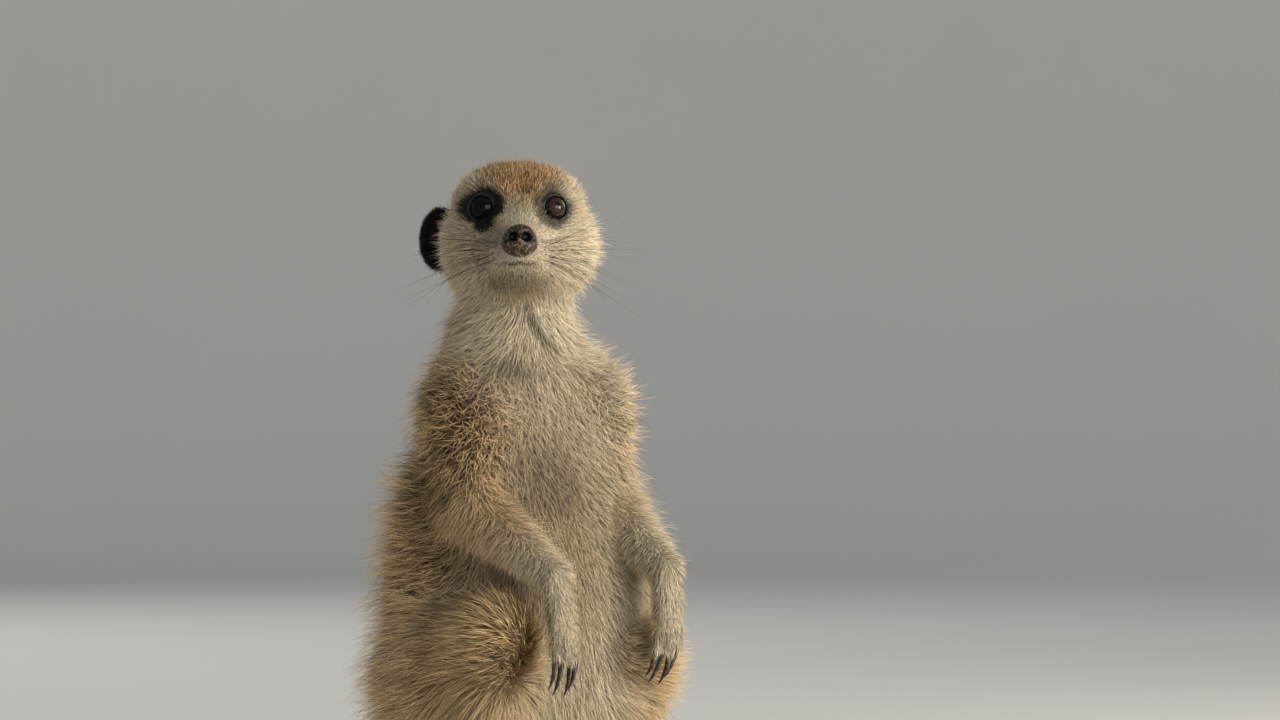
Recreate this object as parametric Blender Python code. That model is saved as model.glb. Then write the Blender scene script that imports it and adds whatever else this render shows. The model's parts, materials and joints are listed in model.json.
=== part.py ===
"""Life-size meerkat sitting upright on its haunches, head turned a little to its own right.

Lengths in the tables are centimetres; CM turns them into metres when the solids are made.
The animal faces -Y, its own right side is -X, and the floor is z = 0.
The form is one field of distances (negative inside the skin) melted together from simple shapes,
and the coat depth is a second field, so the solids can be drawn at the tips of the coat.
"""
from math import ceil, cos, radians, sin

import bmesh
import bpy
import numpy as np
from mathutils import Matrix, Vector

# ---------------------------------------------------------------- driving dimensions (centimetres)
CM = 0.01
HEAD_AT = (-1.33, -2.25, 23.15)      # point midway between the eyes
HEAD_YAW = -26.0                     # degrees, turned to the animal's own right
HEAD_PITCH = -6.0                    # degrees, nose raised
EYE_AT = (1.20, -0.12, 0.0)          # left eye in the head's own frame
EYE_RADIUS = 0.52
EYE_OUT = 24.0                       # degrees each eye looks out to its own side
NOSE_AT = (0.0, -2.62, -1.46)
NOSE_RADII = (0.62, 0.42, 0.60)
EAR_AT = (2.80, 2.45, -0.78)          # ear on the animal's right; the other lies further back
EAR_RADII = (0.82, 0.36, 1.16)
EAR_BACK = (-0.42, 0.35, -0.05)       # how far the left ear is laid back
EAR_FACING = (28.0, 62.0)             # degrees each ear opens away from straight ahead

# Head sections from the muzzle back: y, top, underside, half width, height of the widest point.
HEAD_SECTIONS = [
    (-2.50, -1.10, -2.28, 0.62, -1.72),
    (-2.05, -0.88, -2.60, 0.88, -1.82),
    (-1.55, -0.52, -2.76, 1.05, -1.82),
    (-1.05, -0.10, -2.84, 1.20, -1.65),
    (-0.55, 0.45, -2.88, 1.46, -1.35),
    (-0.05, 0.98, -2.90, 1.80, -1.10),
    (0.50, 1.38, -2.90, 2.10, -0.98),
    (1.20, 1.64, -2.85, 2.22, -0.92),
    (2.00, 1.64, -2.70, 2.27, -0.90),
    (2.80, 1.36, -2.50, 2.16, -0.90),
    (3.50, 0.80, -2.20, 1.82, -0.80),
    (4.00, 0.10, -1.70, 1.20, -0.80),
]
# Trunk sections from the rump up: z, belly, back, half width, depth of the widest point.
TRUNK_SECTIONS = [
    (0.60, -0.60, 3.20, 2.30, 1.30),
    (2.00, -1.70, 3.80, 3.10, 1.00),
    (4.00, -2.70, 4.10, 3.55, 0.70),
    (6.00, -3.30, 4.10, 3.70, 0.40),
    (8.00, -3.65, 3.95, 3.70, 0.20),
    (10.0, -3.65, 3.60, 3.55, 0.10),
    (12.0, -3.40, 3.30, 3.35, 0.10),
    (14.0, -2.85, 2.95, 3.05, 0.10),
    (15.8, -2.20, 2.40, 2.55, 0.10),
    (17.2, -1.80, 1.95, 2.00, 0.05),
]
TAIL_PATH = [  # x, y, z, radius
    (0.0, 2.6, 3.2, 1.35), (0.1, 4.5, 1.75, 0.85), (0.6, 6.4, 0.92, 0.62), (1.9, 9.2, 0.78, 0.50),
    (4.0, 11.6, 0.70, 0.42), (6.6, 13.1, 0.62, 0.35), (9.4, 13.6, 0.55, 0.28), (12.0, 13.2, 0.45, 0.17),
]
SHOULDER, ARM_TOP = 2.20, 16.0


def vec(*values):
    """A point or direction."""
    return np.array(values, float)


def unit(direction):
    """The direction at length one."""
    return direction / np.linalg.norm(direction)


def smooth(value, low, high):
    """Eased step from 0 at low to 1 at high."""
    t = np.clip((value - low) / (high - low), 0.0, 1.0)
    return t * t * (3.0 - 2.0 * t)


def melt(a, b, reach):
    """Union of two fields, rounded over the reach."""
    h = np.clip(0.5 + 0.5 * (b - a) / reach, 0.0, 1.0)
    return b + (a - b) * h - reach * h * (1.0 - h)


def rotation(yaw, pitch):
    """Turn about Z after a nod about X, in degrees."""
    cy, sy, cp, sp = cos(radians(yaw)), sin(radians(yaw)), cos(radians(pitch)), sin(radians(pitch))
    turn = np.array([[cy, -sy, 0], [sy, cy, 0], [0, 0, 1]])
    return turn @ np.array([[1, 0, 0], [0, cp, -sp], [0, sp, cp]])


class Lump:
    """An ellipsoid."""

    def __init__(self, centre, radii):
        self.centre, self.radii = vec(*centre), vec(*radii)

    def distance(self, p):
        q = (p - self.centre) / self.radii
        near = np.linalg.norm(q, axis=1) + 1e-9
        slope = np.linalg.norm(q / self.radii, axis=1) + 1e-9
        return near * (near - 1.0) / slope

    def seeds(self):
        return [(self.centre, self.radii)]


class Rod:
    """A tapered rod with round ends, squashed along `flat` to `share` of its width."""

    def __init__(self, start, end, start_radius, end_radius, flat=None, share=1.0):
        self.start, self.end = vec(*start), vec(*end)
        self.radii, self.share = (start_radius, end_radius), share
        self.flat = None if flat is None else unit(vec(*flat))

    def distance(self, p):
        a, b = self.start, self.end
        if self.flat is not None:
            more = 1.0 / self.share - 1.0
            p = p + np.outer((p - a) @ self.flat * more, self.flat)
            b = b + self.flat * ((b - a) @ self.flat) * more
        line = b - a
        t = np.clip((p - a) @ line / (line @ line), 0.0, 1.0)
        reach = self.radii[0] + (self.radii[1] - self.radii[0]) * t
        return np.linalg.norm(p - a - t[:, None] * line, axis=1) - reach

    def seeds(self):
        count = max(2, int(ceil(np.linalg.norm(self.end - self.start) / (0.7 * min(self.radii)))) + 1)
        share = self.share if self.flat is not None else 1.0
        out = []
        for t in np.linspace(0.0, 1.0, count):
            radius = (self.radii[0] + (self.radii[1] - self.radii[0]) * t) * share
            out.append((self.start + (self.end - self.start) * t, np.full(3, radius)))
        return out


class Loft:
    """Rounded sections along one axis: station, low side, high side, half width, widest point."""

    def __init__(self, rows, along, depth, power, cap):
        self.along, self.depth, self.power, self.cap = along, depth, power, cap
        self.rows = through(rows, 6)

    def distance(self, p):
        s = p[:, self.along]
        first, last = self.rows[0, 0], self.rows[-1, 0]
        low, high, half, middle = (np.interp(s, self.rows[:, 0], self.rows[:, k]) for k in (1, 2, 3, 4))
        past = np.maximum(np.maximum(first - s, s - last), 0.0) / self.cap
        shrink = np.sqrt(np.maximum(1.0 - past * past, 1e-4))
        away = p[:, self.depth] - middle
        side = np.where(away > 0.0, high - middle, middle - low)
        gauge = ((np.abs(p[:, 0]) / half) ** self.power + (np.abs(away) / side) ** self.power)
        gauge = gauge ** (1.0 / self.power) + 1e-6
        radial = np.sqrt(p[:, 0] ** 2 + away ** 2) + 1e-9
        return np.maximum(radial * (1.0 - shrink / gauge), (past - 1.0) * self.cap)

    def seeds(self):
        out = []
        for s, low, high, half, middle in self.rows[::2]:
            centre, radii = np.zeros(3), np.full(3, half)
            centre[self.along], centre[self.depth] = s, 0.5 * (low + high)
            radii[self.along], radii[self.depth] = min(half, 0.5 * (high - low)) * 0.7, 0.5 * (high - low)
            out.append((centre, radii))
        return out


def through(rows, steps):
    """Rows of numbers with smooth curves drawn through them."""
    rows = np.array(rows, float)
    rows = np.vstack([2.0 * rows[0] - rows[1], rows, 2.0 * rows[-1] - rows[-2]])
    out = []
    for i in range(1, len(rows) - 2):
        a, b, c, d = rows[i - 1:i + 3]
        for t in np.arange(steps) / steps:
            bend = (2.0 * a - 5.0 * b + 4.0 * c - d) * t * t + (3.0 * b - a - 3.0 * c + d) * t ** 3
            out.append(0.5 * (2.0 * b + (c - a) * t + bend))
    out.append(rows[-2])
    return np.array(out)


class Group:
    """Shapes melted together in order, each over its own reach, in a frame of its own."""

    def __init__(self, items, at=None, turn=None):
        self.items, self.at, self.turn = items, at, turn

    def distance(self, p):
        if self.at is not None:
            p = (p - self.at) @ self.turn
            p[:, 0] = np.sqrt(p[:, 0] ** 2 + 4e-4)
        field = None
        for shape, reach in self.items:
            own = shape.distance(p)
            field = own if field is None else melt(field, own, reach)
        return field

    def seeds(self):
        out = []
        for shape, _ in self.items:
            for centre, radii in shape.seeds():
                if self.at is None:
                    out.append((centre, radii, np.eye(3)))
                    continue
                for side in ((1.0, -1.0) if centre[0] > 1e-6 else (1.0,)):
                    out.append((self.turn @ (centre * vec(side, 1, 1)) + self.at, radii, self.turn))
        return out


HEAD_AT = vec(*HEAD_AT)
HEAD_TURN = rotation(HEAD_YAW, HEAD_PITCH)


def head_point(x, y, z):
    """A point given in the head's own frame, brought to the body's."""
    return HEAD_TURN @ vec(x, y, z) + HEAD_AT


HEAD = Group([
    (Loft([(y, under, top, half, mid) for y, top, under, half, mid in HEAD_SECTIONS], 1, 2, 2.15, 0.35), 0.0),
    (Lump((0.0, 2.1, -0.7), (2.2, 2.15, 2.0)), 0.4),
    (Lump((1.35, 1.55, -1.50), (1.05, 1.6, 1.0)), 0.6),
    (Lump((0.94, 1.45, 0.50), (1.10, 1.55, 0.88)), 0.5),
    (Rod((1.30, -0.25, -0.80), (2.0, 1.3, -0.80), 0.28, 0.45), 0.5),
    (Rod((0.55, -0.45, 0.45), (1.45, 0.10, 0.50), 0.20, 0.26), 0.4),
    (Lump((0.42, -1.78, -1.95), (0.48, 0.72, 0.44)), 0.25),
    (Lump((0.0, -2.42, -1.50), (0.62, 0.44, 0.60)), 0.14),
], HEAD_AT, HEAD_TURN)

TRUNK = Group([
    (Loft(TRUNK_SECTIONS, 2, 1, 2.15, 0.9), 0.0),
    (Lump((1.35, -1.25, 8.6), (2.3, 2.2, 3.6)), 0.9),
    (Rod((0.0, 0.0, 15.5), (-0.55, -0.35, 19.2), 2.0, 1.45), 1.2),
    (Rod((-0.55, -0.35, 19.2), head_point(0.0, 1.9, -1.2), 1.45, 1.65), 0.9),
    (Rod((-1.1, -0.1, 18.5), (-2.2, -0.3, 16.2), 1.0, 1.1), 1.0),
    (Rod((0.35, -0.1, 18.5), (2.1, -0.3, 16.2), 1.0, 1.1), 1.0),
])
TAIL_LINE = through(TAIL_PATH, 3)
TAIL = Group([(Rod(a[:3], b[:3], a[3], b[3]), 0.25) for a, b in zip(TAIL_LINE[:-1], TAIL_LINE[1:])])


def fan(root, tip, across, spread, gap):
    """Four digits side by side: start and end of each."""
    out = []
    for i in range(4):
        s = i - 1.5
        out.append((root + across * s * gap, tip + across * s * spread - (tip - root) * 0.10 * abs(s)))
    return out


class Arm:
    """A hanging foreleg: shoulder, elbow, wrist, knuckles and four digits."""

    def __init__(self, shoulder, elbow, wrist, knuckle, yaw):
        self.shoulder, self.elbow = vec(*shoulder), vec(*elbow)
        self.wrist, self.knuckle = vec(*wrist), vec(*knuckle)
        self.down = unit(self.knuckle - self.wrist)
        across = vec(cos(radians(yaw)), sin(radians(yaw)), 0.0)
        self.across = unit(across - self.down * (across @ self.down))
        self.back = np.cross(self.across, self.down)
        if self.back[1] > 0.0:
            self.back = -self.back
        self.digits = fan(self.knuckle - self.down * 0.25, self.knuckle + self.down * 0.68 - self.back * 0.20,
                          self.across, 0.25, 0.22)
        self.group = Group([
            (Rod(self.shoulder, self.elbow, 1.15, 0.74), 0.0),
            (Rod(self.elbow, self.wrist, 0.76, 0.36), 0.4),
            (Rod(self.wrist, self.knuckle, 0.37, 0.46, self.back, 0.70), 0.3),
        ] + [(Rod(start, end, 0.15, 0.135), 0.06) for start, end in self.digits])


class Leg:
    """A folded hind leg: hip, knee, ankle, ball of the foot and four digits."""

    def __init__(self, hip, knee, ankle, ball):
        self.hip, self.knee, self.ankle, self.ball = (vec(*j) for j in (hip, knee, ankle, ball))
        ahead = self.ball - self.ankle
        ahead[2] = 0.0
        self.ahead = unit(ahead)
        self.across = vec(-self.ahead[1], self.ahead[0], 0.0)
        if self.across[0] < 0.0:
            self.across = -self.across
        self.heel = self.ankle + vec(0, 0, -0.75) + self.ahead * 0.1
        root = self.ball - self.ahead * 0.2 + vec(0, 0, -0.02)
        self.digits = fan(root, self.ball + self.ahead * 1.1 + vec(0, 0, -0.22), self.across, 0.46, 0.36)
        middle = self.hip * 0.5 + self.knee * 0.5
        self.group = Group([
            (Rod(self.hip, middle, 2.3, 2.0), 0.0),
            (Rod(middle, self.knee, 2.0, 1.05), 0.6),
            (Rod(self.hip + vec(0, 0.3, -1.3), middle + vec(0, 0, -1.2), 1.8, 1.3), 0.8),
            (Rod(self.knee, self.ankle, 0.98, 0.50), 0.4),
            (Rod(self.ankle, self.heel, 0.55, 0.50), 0.3),
            (Rod(self.heel, self.ball, 0.50, 0.68, (0, 0, 1), 0.75), 0.3),
        ] + [(Rod(start, end, 0.28, 0.24), 0.12) for start, end in self.digits])


ARM_R = Arm((-SHOULDER, -0.4, ARM_TOP), (-3.05, -1.9, 12.6), (-1.6, -5.65, 10.15), (-1.5, -6.25, 7.95), 6)
ARM_L = Arm((SHOULDER, -0.4, ARM_TOP), (2.5, -1.3, 12.75), (3.2, -4.95, 10.3), (3.15, -5.25, 8.15), 10)
LEG_R = Leg((-1.85, 0.9, 6.0), (-3.1, -4.0, 8.0), (-3.1, -1.6, 1.45), (-3.15, -5.4, 0.58))
LEG_L = Leg((1.85, 0.9, 5.9), (2.9, -2.8, 7.3), (3.6, 0.2, 1.45), (3.9, -3.9, 0.58))
ARMS, LEGS = (ARM_R, ARM_L), (LEG_R, LEG_L)


def skin(p):
    """Distance to the skin of the whole animal, with the limbs melted in at shoulder and hip."""
    field = melt(TRUNK.distance(p), HEAD.distance(p), 0.8)
    field = melt(field, TAIL.distance(p), 0.7)
    for arm in ARMS:
        near = np.linalg.norm(p - arm.shoulder, axis=1)
        field = melt(field, arm.group.distance(p), 0.12 + 0.9 * (1.0 - smooth(near, 1.5, 3.8)))
    for leg in LEGS:
        near = np.linalg.norm(p - leg.hip, axis=1)
        field = melt(field, leg.group.distance(p), 0.15 + 0.9 * (1.0 - smooth(near, 2.0, 5.0)))
    return field


def both_sides(rows):
    """Rows given for the left side, copied to the right."""
    return [(side * x, *rest) for x, *rest in rows for side in ((1, -1) if x else (1,))]


# Coat depth at places on the animal: x, y, z, depth, reach of that value.
HEAD_COAT = both_sides([
    (0, -2.9, -1.5, 0.0, 0.6), (0.45, -1.8, -1.7, 0.07, 0.7), (0, -1.2, -0.6, 0.10, 0.7),
    (1.35, -0.3, 0.0, 0.02, 0.6), (0, 0.3, 1.1, 0.24, 1.0), (0, 2.2, 1.5, 0.34, 1.2),
    (2.0, 1.0, 0.5, 0.28, 1.0), (2.3, 1.0, -1.1, 0.40, 1.0), (2.3, 2.4, -1.8, 0.46, 1.2),
    (0, -1.6, -2.8, 0.12, 0.7), (0, 0.5, -3.2, 0.32, 1.1), (0, 4.3, -0.6, 0.5, 1.4)])
TRUNK_COAT = both_sides([
    (0, -1.9, 19, 0.45, 1.4), (1.9, 0, 19, 0.65, 1.2), (0, 1.7, 19, 0.85, 1.4), (0, -2.6, 15.5, 0.45, 1.6),
    (3.7, -0.4, 16, 0.66, 1.4), (0, 2.6, 15.5, 1.15, 2.0), (3.3, 1.4, 11.5, 1.35, 2.0),
    (0, 3.5, 10, 1.4, 2.4), (0, -3.7, 8.5, 0.24, 2.4), (2.8, -2.4, 9.5, 0.40, 1.4),
    (0, -2.6, 4.0, 0.32, 2.0), (0, 4.0, 4.0, 1.3, 2.2), (0, 1.5, 0.4, 0.5, 1.8), (4.2, 0.4, 6.5, 1.15, 2.2)])


def limb_coat():
    """Coat depths along the arms, legs and tail."""
    rows = []
    for arm in ARMS:
        rows.append((*(arm.shoulder * 0.4 + arm.elbow * 0.6), 0.66, 1.3))
        rows.append((*arm.elbow, 0.65, 1.2))
        for t, depth in ((0.35, 0.5), (0.7, 0.42), (1.0, 0.24)):
            rows.append((*(arm.elbow * (1 - t) + arm.wrist * t), depth, 1.0))
        rows.append((*arm.knuckle, 0.10, 0.9))
        rows.append((*(arm.knuckle + arm.down), 0.05, 0.6))
    for leg in LEGS:
        rows.append((*(leg.hip * 0.5 + leg.knee * 0.5), 1.15, 1.8))
        rows.append((*leg.knee, 0.75, 1.3))
        rows.append((*(leg.knee * 0.4 + leg.ankle * 0.6), 0.4, 1.3))
        rows.append((*leg.ankle, 0.25, 1.0))
        rows.append((*(leg.heel * 0.5 + leg.ball * 0.5), 0.15, 1.2))
        rows.append((*leg.ball, 0.12, 1.4))
        rows.append((*(leg.ball + leg.ahead * 1.2), 0.05, 0.7))
    return rows + [(0.1, 4.3, 1.8, 0.6, 1.2), (1.9, 9.2, 0.78, 0.33, 2.5),
                   (6.6, 13.1, 0.62, 0.30, 2.5), (12.0, 13.2, 0.45, 0.32, 1.5)]


COAT = [(*head_point(x, y, z), depth, reach) for x, y, z, depth, reach in HEAD_COAT]
COAT += TRUNK_COAT + limb_coat()


def coat_depth(p):
    """How far the coat stands off the skin, eased between the places in COAT."""
    total, value = np.full(len(p), 1e-12), np.full(len(p), 0.4e-12)
    for x, y, z, depth, reach in COAT:
        off = ((p - vec(x, y, z)) ** 2).sum(1)
        weight = np.exp(-off / reach ** 2) + 1e-7 / (1.0 + off) ** 3
        total += weight
        value += weight * depth
    return value / total


GROUPS = (TRUNK, HEAD, TAIL, ARM_R.group, ARM_L.group, LEG_R.group, LEG_L.group)


# ---------------------------------------------------------------- solids
VOXEL = 0.24                         # cell of the first rough skin
OUTLINE_TRIANGLES = 2500             # outline of the whole animal after thinning
HALF_GAP = 0.016                     # half the gap left between neighbours
CLAW_FRONT, CLAW_HIND = 1.85, 0.85   # claw lengths
COLOURS = {
    "coat_crown": (0.36, 0.24, 0.13), "coat_back": (0.30, 0.21, 0.11), "coat_belly": (0.45, 0.36, 0.26),
    "coat_limb": (0.50, 0.38, 0.22), "ear_black": (0.02, 0.017, 0.014), "nose_skin": (0.05, 0.035, 0.03),
    "eye_brown": (0.07, 0.03, 0.012), "claw_horn": (0.06, 0.045, 0.035), "tail_coat": (0.33, 0.24, 0.14),
    "tail_dark": (0.03, 0.022, 0.016),
}


def material(name, rough):
    """The named plain material, made once."""
    made = bpy.data.materials.get(name)
    if made is None:
        made = bpy.data.materials.new(name)
        made.use_nodes = True
        shader = made.node_tree.nodes["Principled BSDF"]
        shader.inputs["Base Color"].default_value = (*COLOURS[name], 1.0)
        shader.inputs["Roughness"].default_value = rough
    return made


def as_object(name, bm):
    """A linked object holding the mesh, which is used up."""
    mesh = bpy.data.meshes.new(name)
    bm.to_mesh(mesh)
    bm.free()
    made = bpy.data.objects.new(name, mesh)
    bpy.context.scene.collection.objects.link(made)
    return made


def applied(made):
    """The object's mesh with its modifiers carried out, as a bmesh; the object is removed."""
    graph = bpy.context.evaluated_depsgraph_get()
    mesh = bpy.data.meshes.new_from_object(made.evaluated_get(graph), depsgraph=graph)
    bm = bmesh.new()
    bm.from_mesh(mesh)
    old = made.data
    bpy.data.objects.remove(made)
    bpy.data.meshes.remove(old)
    bpy.data.meshes.remove(mesh)
    return bm


def boolean(body, cutter, operation):
    """One exact Boolean of two closed bmeshes; both are used up.

    The cutter is nudged by a few hundredths of a millimetre when faces happen to touch edge to edge
    and the volume comes out wrong.
    """
    whole, bite = body.calc_volume(), cutter.calc_volume()
    least, most = (whole - bite, whole) if operation == "DIFFERENCE" else (0.0, min(whole, bite))
    base, tool = as_object("base", body), as_object("tool", cutter)
    step = base.modifiers.new("step", "BOOLEAN")
    step.operation, step.solver, step.object = operation, "EXACT", tool
    graph = bpy.context.evaluated_depsgraph_get()
    for attempt in range(8):
        tool.data.transform(Matrix.Translation(Vector((0.0013, 0.0007, -0.0011)) * attempt))
        step.use_self = attempt > 3
        graph.update()
        bm = bmesh.new()
        bm.from_mesh(base.evaluated_get(graph).data)
        open_edges = sum(1 for e in bm.edges if len(e.link_faces) != 2)
        if bm.verts and not open_edges and least * 0.999 - 1e-3 < bm.calc_volume() < most * 1.001 + 1e-3:
            break
    for old in (base, tool):
        mesh = old.data
        bpy.data.objects.remove(old)
        bpy.data.meshes.remove(mesh)
    return bm


def cut(bm, point, normal):
    """Keep what lies on the side the normal points to, closing the cut face."""
    geometry = bm.verts[:] + bm.edges[:] + bm.faces[:]
    bmesh.ops.bisect_plane(bm, geom=geometry, dist=1e-5, plane_co=Vector(point),
                           plane_no=Vector(unit(normal)), clear_inner=True, clear_outer=False)
    rim = [e for e in bm.edges if e.is_boundary]
    if rim:
        bmesh.ops.holes_fill(bm, edges=rim, sides=0)
    return bm


def largest(bm):
    """Only the biggest connected piece, cleaned and in triangles."""
    bmesh.ops.remove_doubles(bm, verts=bm.verts[:], dist=2e-4)
    bmesh.ops.dissolve_degenerate(bm, dist=1e-4, edges=bm.edges[:])
    bmesh.ops.triangulate(bm, faces=bm.faces[:])
    left, islands = set(bm.verts), []
    while left:
        island, edge = set(), [left.pop()]
        while edge:
            v = edge.pop()
            island.add(v)
            for e in v.link_edges:
                other = e.other_vert(v)
                if other in left:
                    left.remove(other)
                    edge.append(other)
        islands.append(island)
    keep = max(islands, key=len)
    bmesh.ops.delete(bm, geom=[v for v in bm.verts if v not in keep], context="VERTS")
    bmesh.ops.recalc_face_normals(bm, faces=bm.faces[:])
    return bm


def ball(centre, radii, turn=None, detail=3):
    """An ellipsoid mesh."""
    bm = bmesh.new()
    place = np.eye(4)
    place[:3, :3] = (np.eye(3) if turn is None else turn) @ np.diag(np.broadcast_to(radii, 3))
    place[:3, 3] = centre
    bmesh.ops.create_icosphere(bm, subdivisions=detail, radius=1.0, matrix=Matrix(place.tolist()))
    return bm


def hull(balls, grow, planes=()):
    """The convex solid round some balls, grown or shrunk, trimmed by planes."""
    bm = bmesh.new()
    for centre, radius in balls:
        bmesh.ops.create_uvsphere(bm, u_segments=8, v_segments=5, radius=radius * 1.05 + grow,
                                  matrix=Matrix.Translation(Vector(centre)))
    made = bmesh.ops.convex_hull(bm, input=bm.verts[:])
    inside = list(set(made["geom_interior"]) | set(made["geom_unused"]))
    bmesh.ops.delete(bm, geom=[g for g in inside if isinstance(g, bmesh.types.BMVert)], context="VERTS")
    loose = [f for f in bm.faces if any(e.is_boundary or len(e.link_faces) > 2 for e in f.edges)]
    if loose:
        points = [v.co.copy() for v in bm.verts]
        bm.clear()
        for point in points:
            bm.verts.new(point)
        bmesh.ops.convex_hull(bm, input=bm.verts[:])
    bmesh.ops.recalc_face_normals(bm, faces=bm.faces[:])
    for point, normal in planes:
        cut(bm, vec(*point) - unit(vec(*normal)) * grow, normal)
    return bm


def outline():
    """The whole animal drawn at the tips of its coat and stood flat on the floor."""
    bm = bmesh.new()
    for group in GROUPS:
        for centre, radii, turn in group.seeds():
            radii = radii + coat_depth(centre[None, :])[0]
            place = np.eye(4)
            place[:3, :3], place[:3, 3] = turn @ np.diag(radii), centre
            bmesh.ops.create_icosphere(bm, subdivisions=2, radius=1.0, matrix=Matrix(place.tolist()))
    rough = as_object("outline", bm)
    remesh = rough.modifiers.new("remesh", "REMESH")
    remesh.mode, remesh.voxel_size = "VOXEL", VOXEL
    bm = settled(applied(rough), ("draw", "draw", "draw", "draw", "ease", "draw", "ease", "draw"))
    clean = as_object("outline", bm)
    remesh = clean.modifiers.new("remesh", "REMESH")
    remesh.mode, remesh.voxel_size = "VOXEL", VOXEL
    bm = settled(applied(clean), ("draw", "ease", "draw"))
    bmesh.ops.triangulate(bm, faces=bm.faces[:])
    plain = 1.0 - fineness(np.array([v.co for v in bm.verts]))
    full = as_object("outline", bm)
    group = full.vertex_groups.new(name="plain")
    for index, weight in enumerate(plain):
        group.add([index], float(weight), "REPLACE")
    thin = full.modifiers.new("thin", "DECIMATE")
    thin.ratio = OUTLINE_TRIANGLES / len(full.data.polygons)
    thin.vertex_group, thin.vertex_group_factor = "plain", 1.0
    bm = applied(full)
    return largest(cut(bm, (0, 0, 0), (0, 0, 1)))


def fineness(p):
    """How much detail the outline keeps: most on face, hands and feet, least on the trunk."""
    value = np.zeros(len(p))
    spots = [(HEAD_AT, 3.5, 0.7)]
    for arm in ARMS:
        spots += [(arm.knuckle, 2.2, 0.8), (arm.wrist, 1.8, 0.6)]
    for leg in LEGS:
        spots += [(leg.ball, 2.4, 0.6), (leg.ankle, 2.0, 0.4)]
    for centre, reach, fine in spots:
        off = np.linalg.norm(p - centre, axis=1)
        value = np.maximum(value, fine * (1.0 - smooth(off, 0.6 * reach, 1.2 * reach)))
    return value


def settled(bm, moves):
    """The mesh drawn on to the coat's outline and eased, move by move."""
    bm.verts.ensure_lookup_table()
    p = np.array([v.co for v in bm.verts])
    ends = np.array([[v.index for v in e.verts] for e in bm.edges])
    for move in moves:
        p = eased(p, ends) if move == "ease" else drawn(p)
    for v, place in zip(bm.verts, p):
        v.co = place
    return bm


def drawn(p):
    """Points moved on to the coat's outline."""
    value = skin(p) - coat_depth(p)
    slope = np.stack([skin(p + e) - coat_depth(p + e) - value for e in np.eye(3) * 0.01], 1) / 0.01
    steep = np.linalg.norm(slope, axis=1) + 1e-6
    return p - slope / steep[:, None] * np.clip(value / steep, -0.4, 0.4)[:, None]


def eased(p, ends):
    """Points moved halfway to the middle of their neighbours."""
    total = np.zeros_like(p)
    np.add.at(total, ends[:, 0], p[ends[:, 1]])
    np.add.at(total, ends[:, 1], p[ends[:, 0]])
    return 0.5 * p + 0.5 * total / np.bincount(ends.ravel(), minlength=len(p))[:, None]


def claw(tip, forward, down, length, width):
    """A curved claw, oval in section, rooted inside the digit."""
    side = unit(np.cross(forward, down))
    bm = bmesh.new()
    rings = []
    for t in np.linspace(0.0, 1.0, 5)[:-1]:
        bend = radians(8.0 + 52.0 * t)
        centre = tip + (forward * sin(bend) / radians(60.0) * 0.9 + down * (1.0 - cos(bend)) * 0.75) * length
        along = unit(forward * cos(bend) + down * sin(bend))
        over = np.cross(side, along)
        radius = width * (1.0 - 0.86 * t)
        ring = []
        for k in range(6):
            a = radians(60.0 * k)
            ring.append(bm.verts.new(centre + side * cos(a) * radius * 0.75 + over * sin(a) * radius))
        rings.append(ring)
    end = radians(62.0)
    point = tip + (forward * sin(end) / radians(60.0) * 0.9 + down * (1.0 - cos(end)) * 0.75) * length
    last = bm.verts.new(point)
    for a, b in zip(rings[:-1], rings[1:]):
        for k in range(6):
            bm.faces.new((a[k], a[(k + 1) % 6], b[(k + 1) % 6], b[k]))
    for k in range(6):
        bm.faces.new((rings[-1][k], rings[-1][(k + 1) % 6], last))
    bm.faces.new(rings[0][::-1])
    bmesh.ops.triangulate(bm, faces=bm.faces[:])
    bmesh.ops.recalc_face_normals(bm, faces=bm.faces[:])
    return bm


def claws(digits, forward, down, length, width):
    """The claws of one paw with the same claws a little fatter, for their sockets."""
    out = []
    for start, end in digits:
        away = unit(end - start)
        root = end - away * 0.10
        ahead = unit(forward * 0.5 + away * 0.5)
        socket = claw(root - ahead * 0.03, ahead, down, length * 1.02, width + 0.035)
        out.append((claw(root, ahead, down, length, width), socket))
    return out


def ear_frame(side):
    """Centre and turn of one ear; the left one is laid further back."""
    back = vec(*EAR_BACK) if side > 0.0 else np.zeros(3)
    x, y, z = vec(*EAR_AT) + back
    facing = EAR_FACING[1] if side > 0.0 else EAR_FACING[0]
    return head_point(side * x, y, z), HEAD_TURN @ rotation(side * facing, 0.0)


def ear(side, grow):
    """A thin upright shell hollowed on the side that faces forward and out."""
    centre, spin = ear_frame(side)
    shell = ball(centre, vec(*EAR_RADII) + grow, spin, 3 if grow > 0.0 else 2)
    if grow > 0.0:
        return shell
    cup = centre + spin @ vec(side * 0.06, -0.30, 0.0)
    hollow = ball(cup, vec(*EAR_RADII) * vec(0.76, 0.85, 0.76), spin, 2)
    return boolean(shell, hollow, "DIFFERENCE")


for old in list(bpy.data.objects):
    bpy.data.objects.remove(old, do_unlink=True)

rest = outline()
parts = {}


def take(name, make):
    """Part the named piece from what is left; make(grow) gives its region."""
    global rest
    parts[name] = largest(boolean(rest.copy(), make(-HALF_GAP), "INTERSECT"))
    rest = largest(boolean(rest, make(HALF_GAP), "DIFFERENCE"))


def joint(far_a, at, far_b):
    """Plane halving the angle at a joint, facing the first bone."""
    return (at, unit(unit(far_a - at) - unit(far_b - at)))


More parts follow.
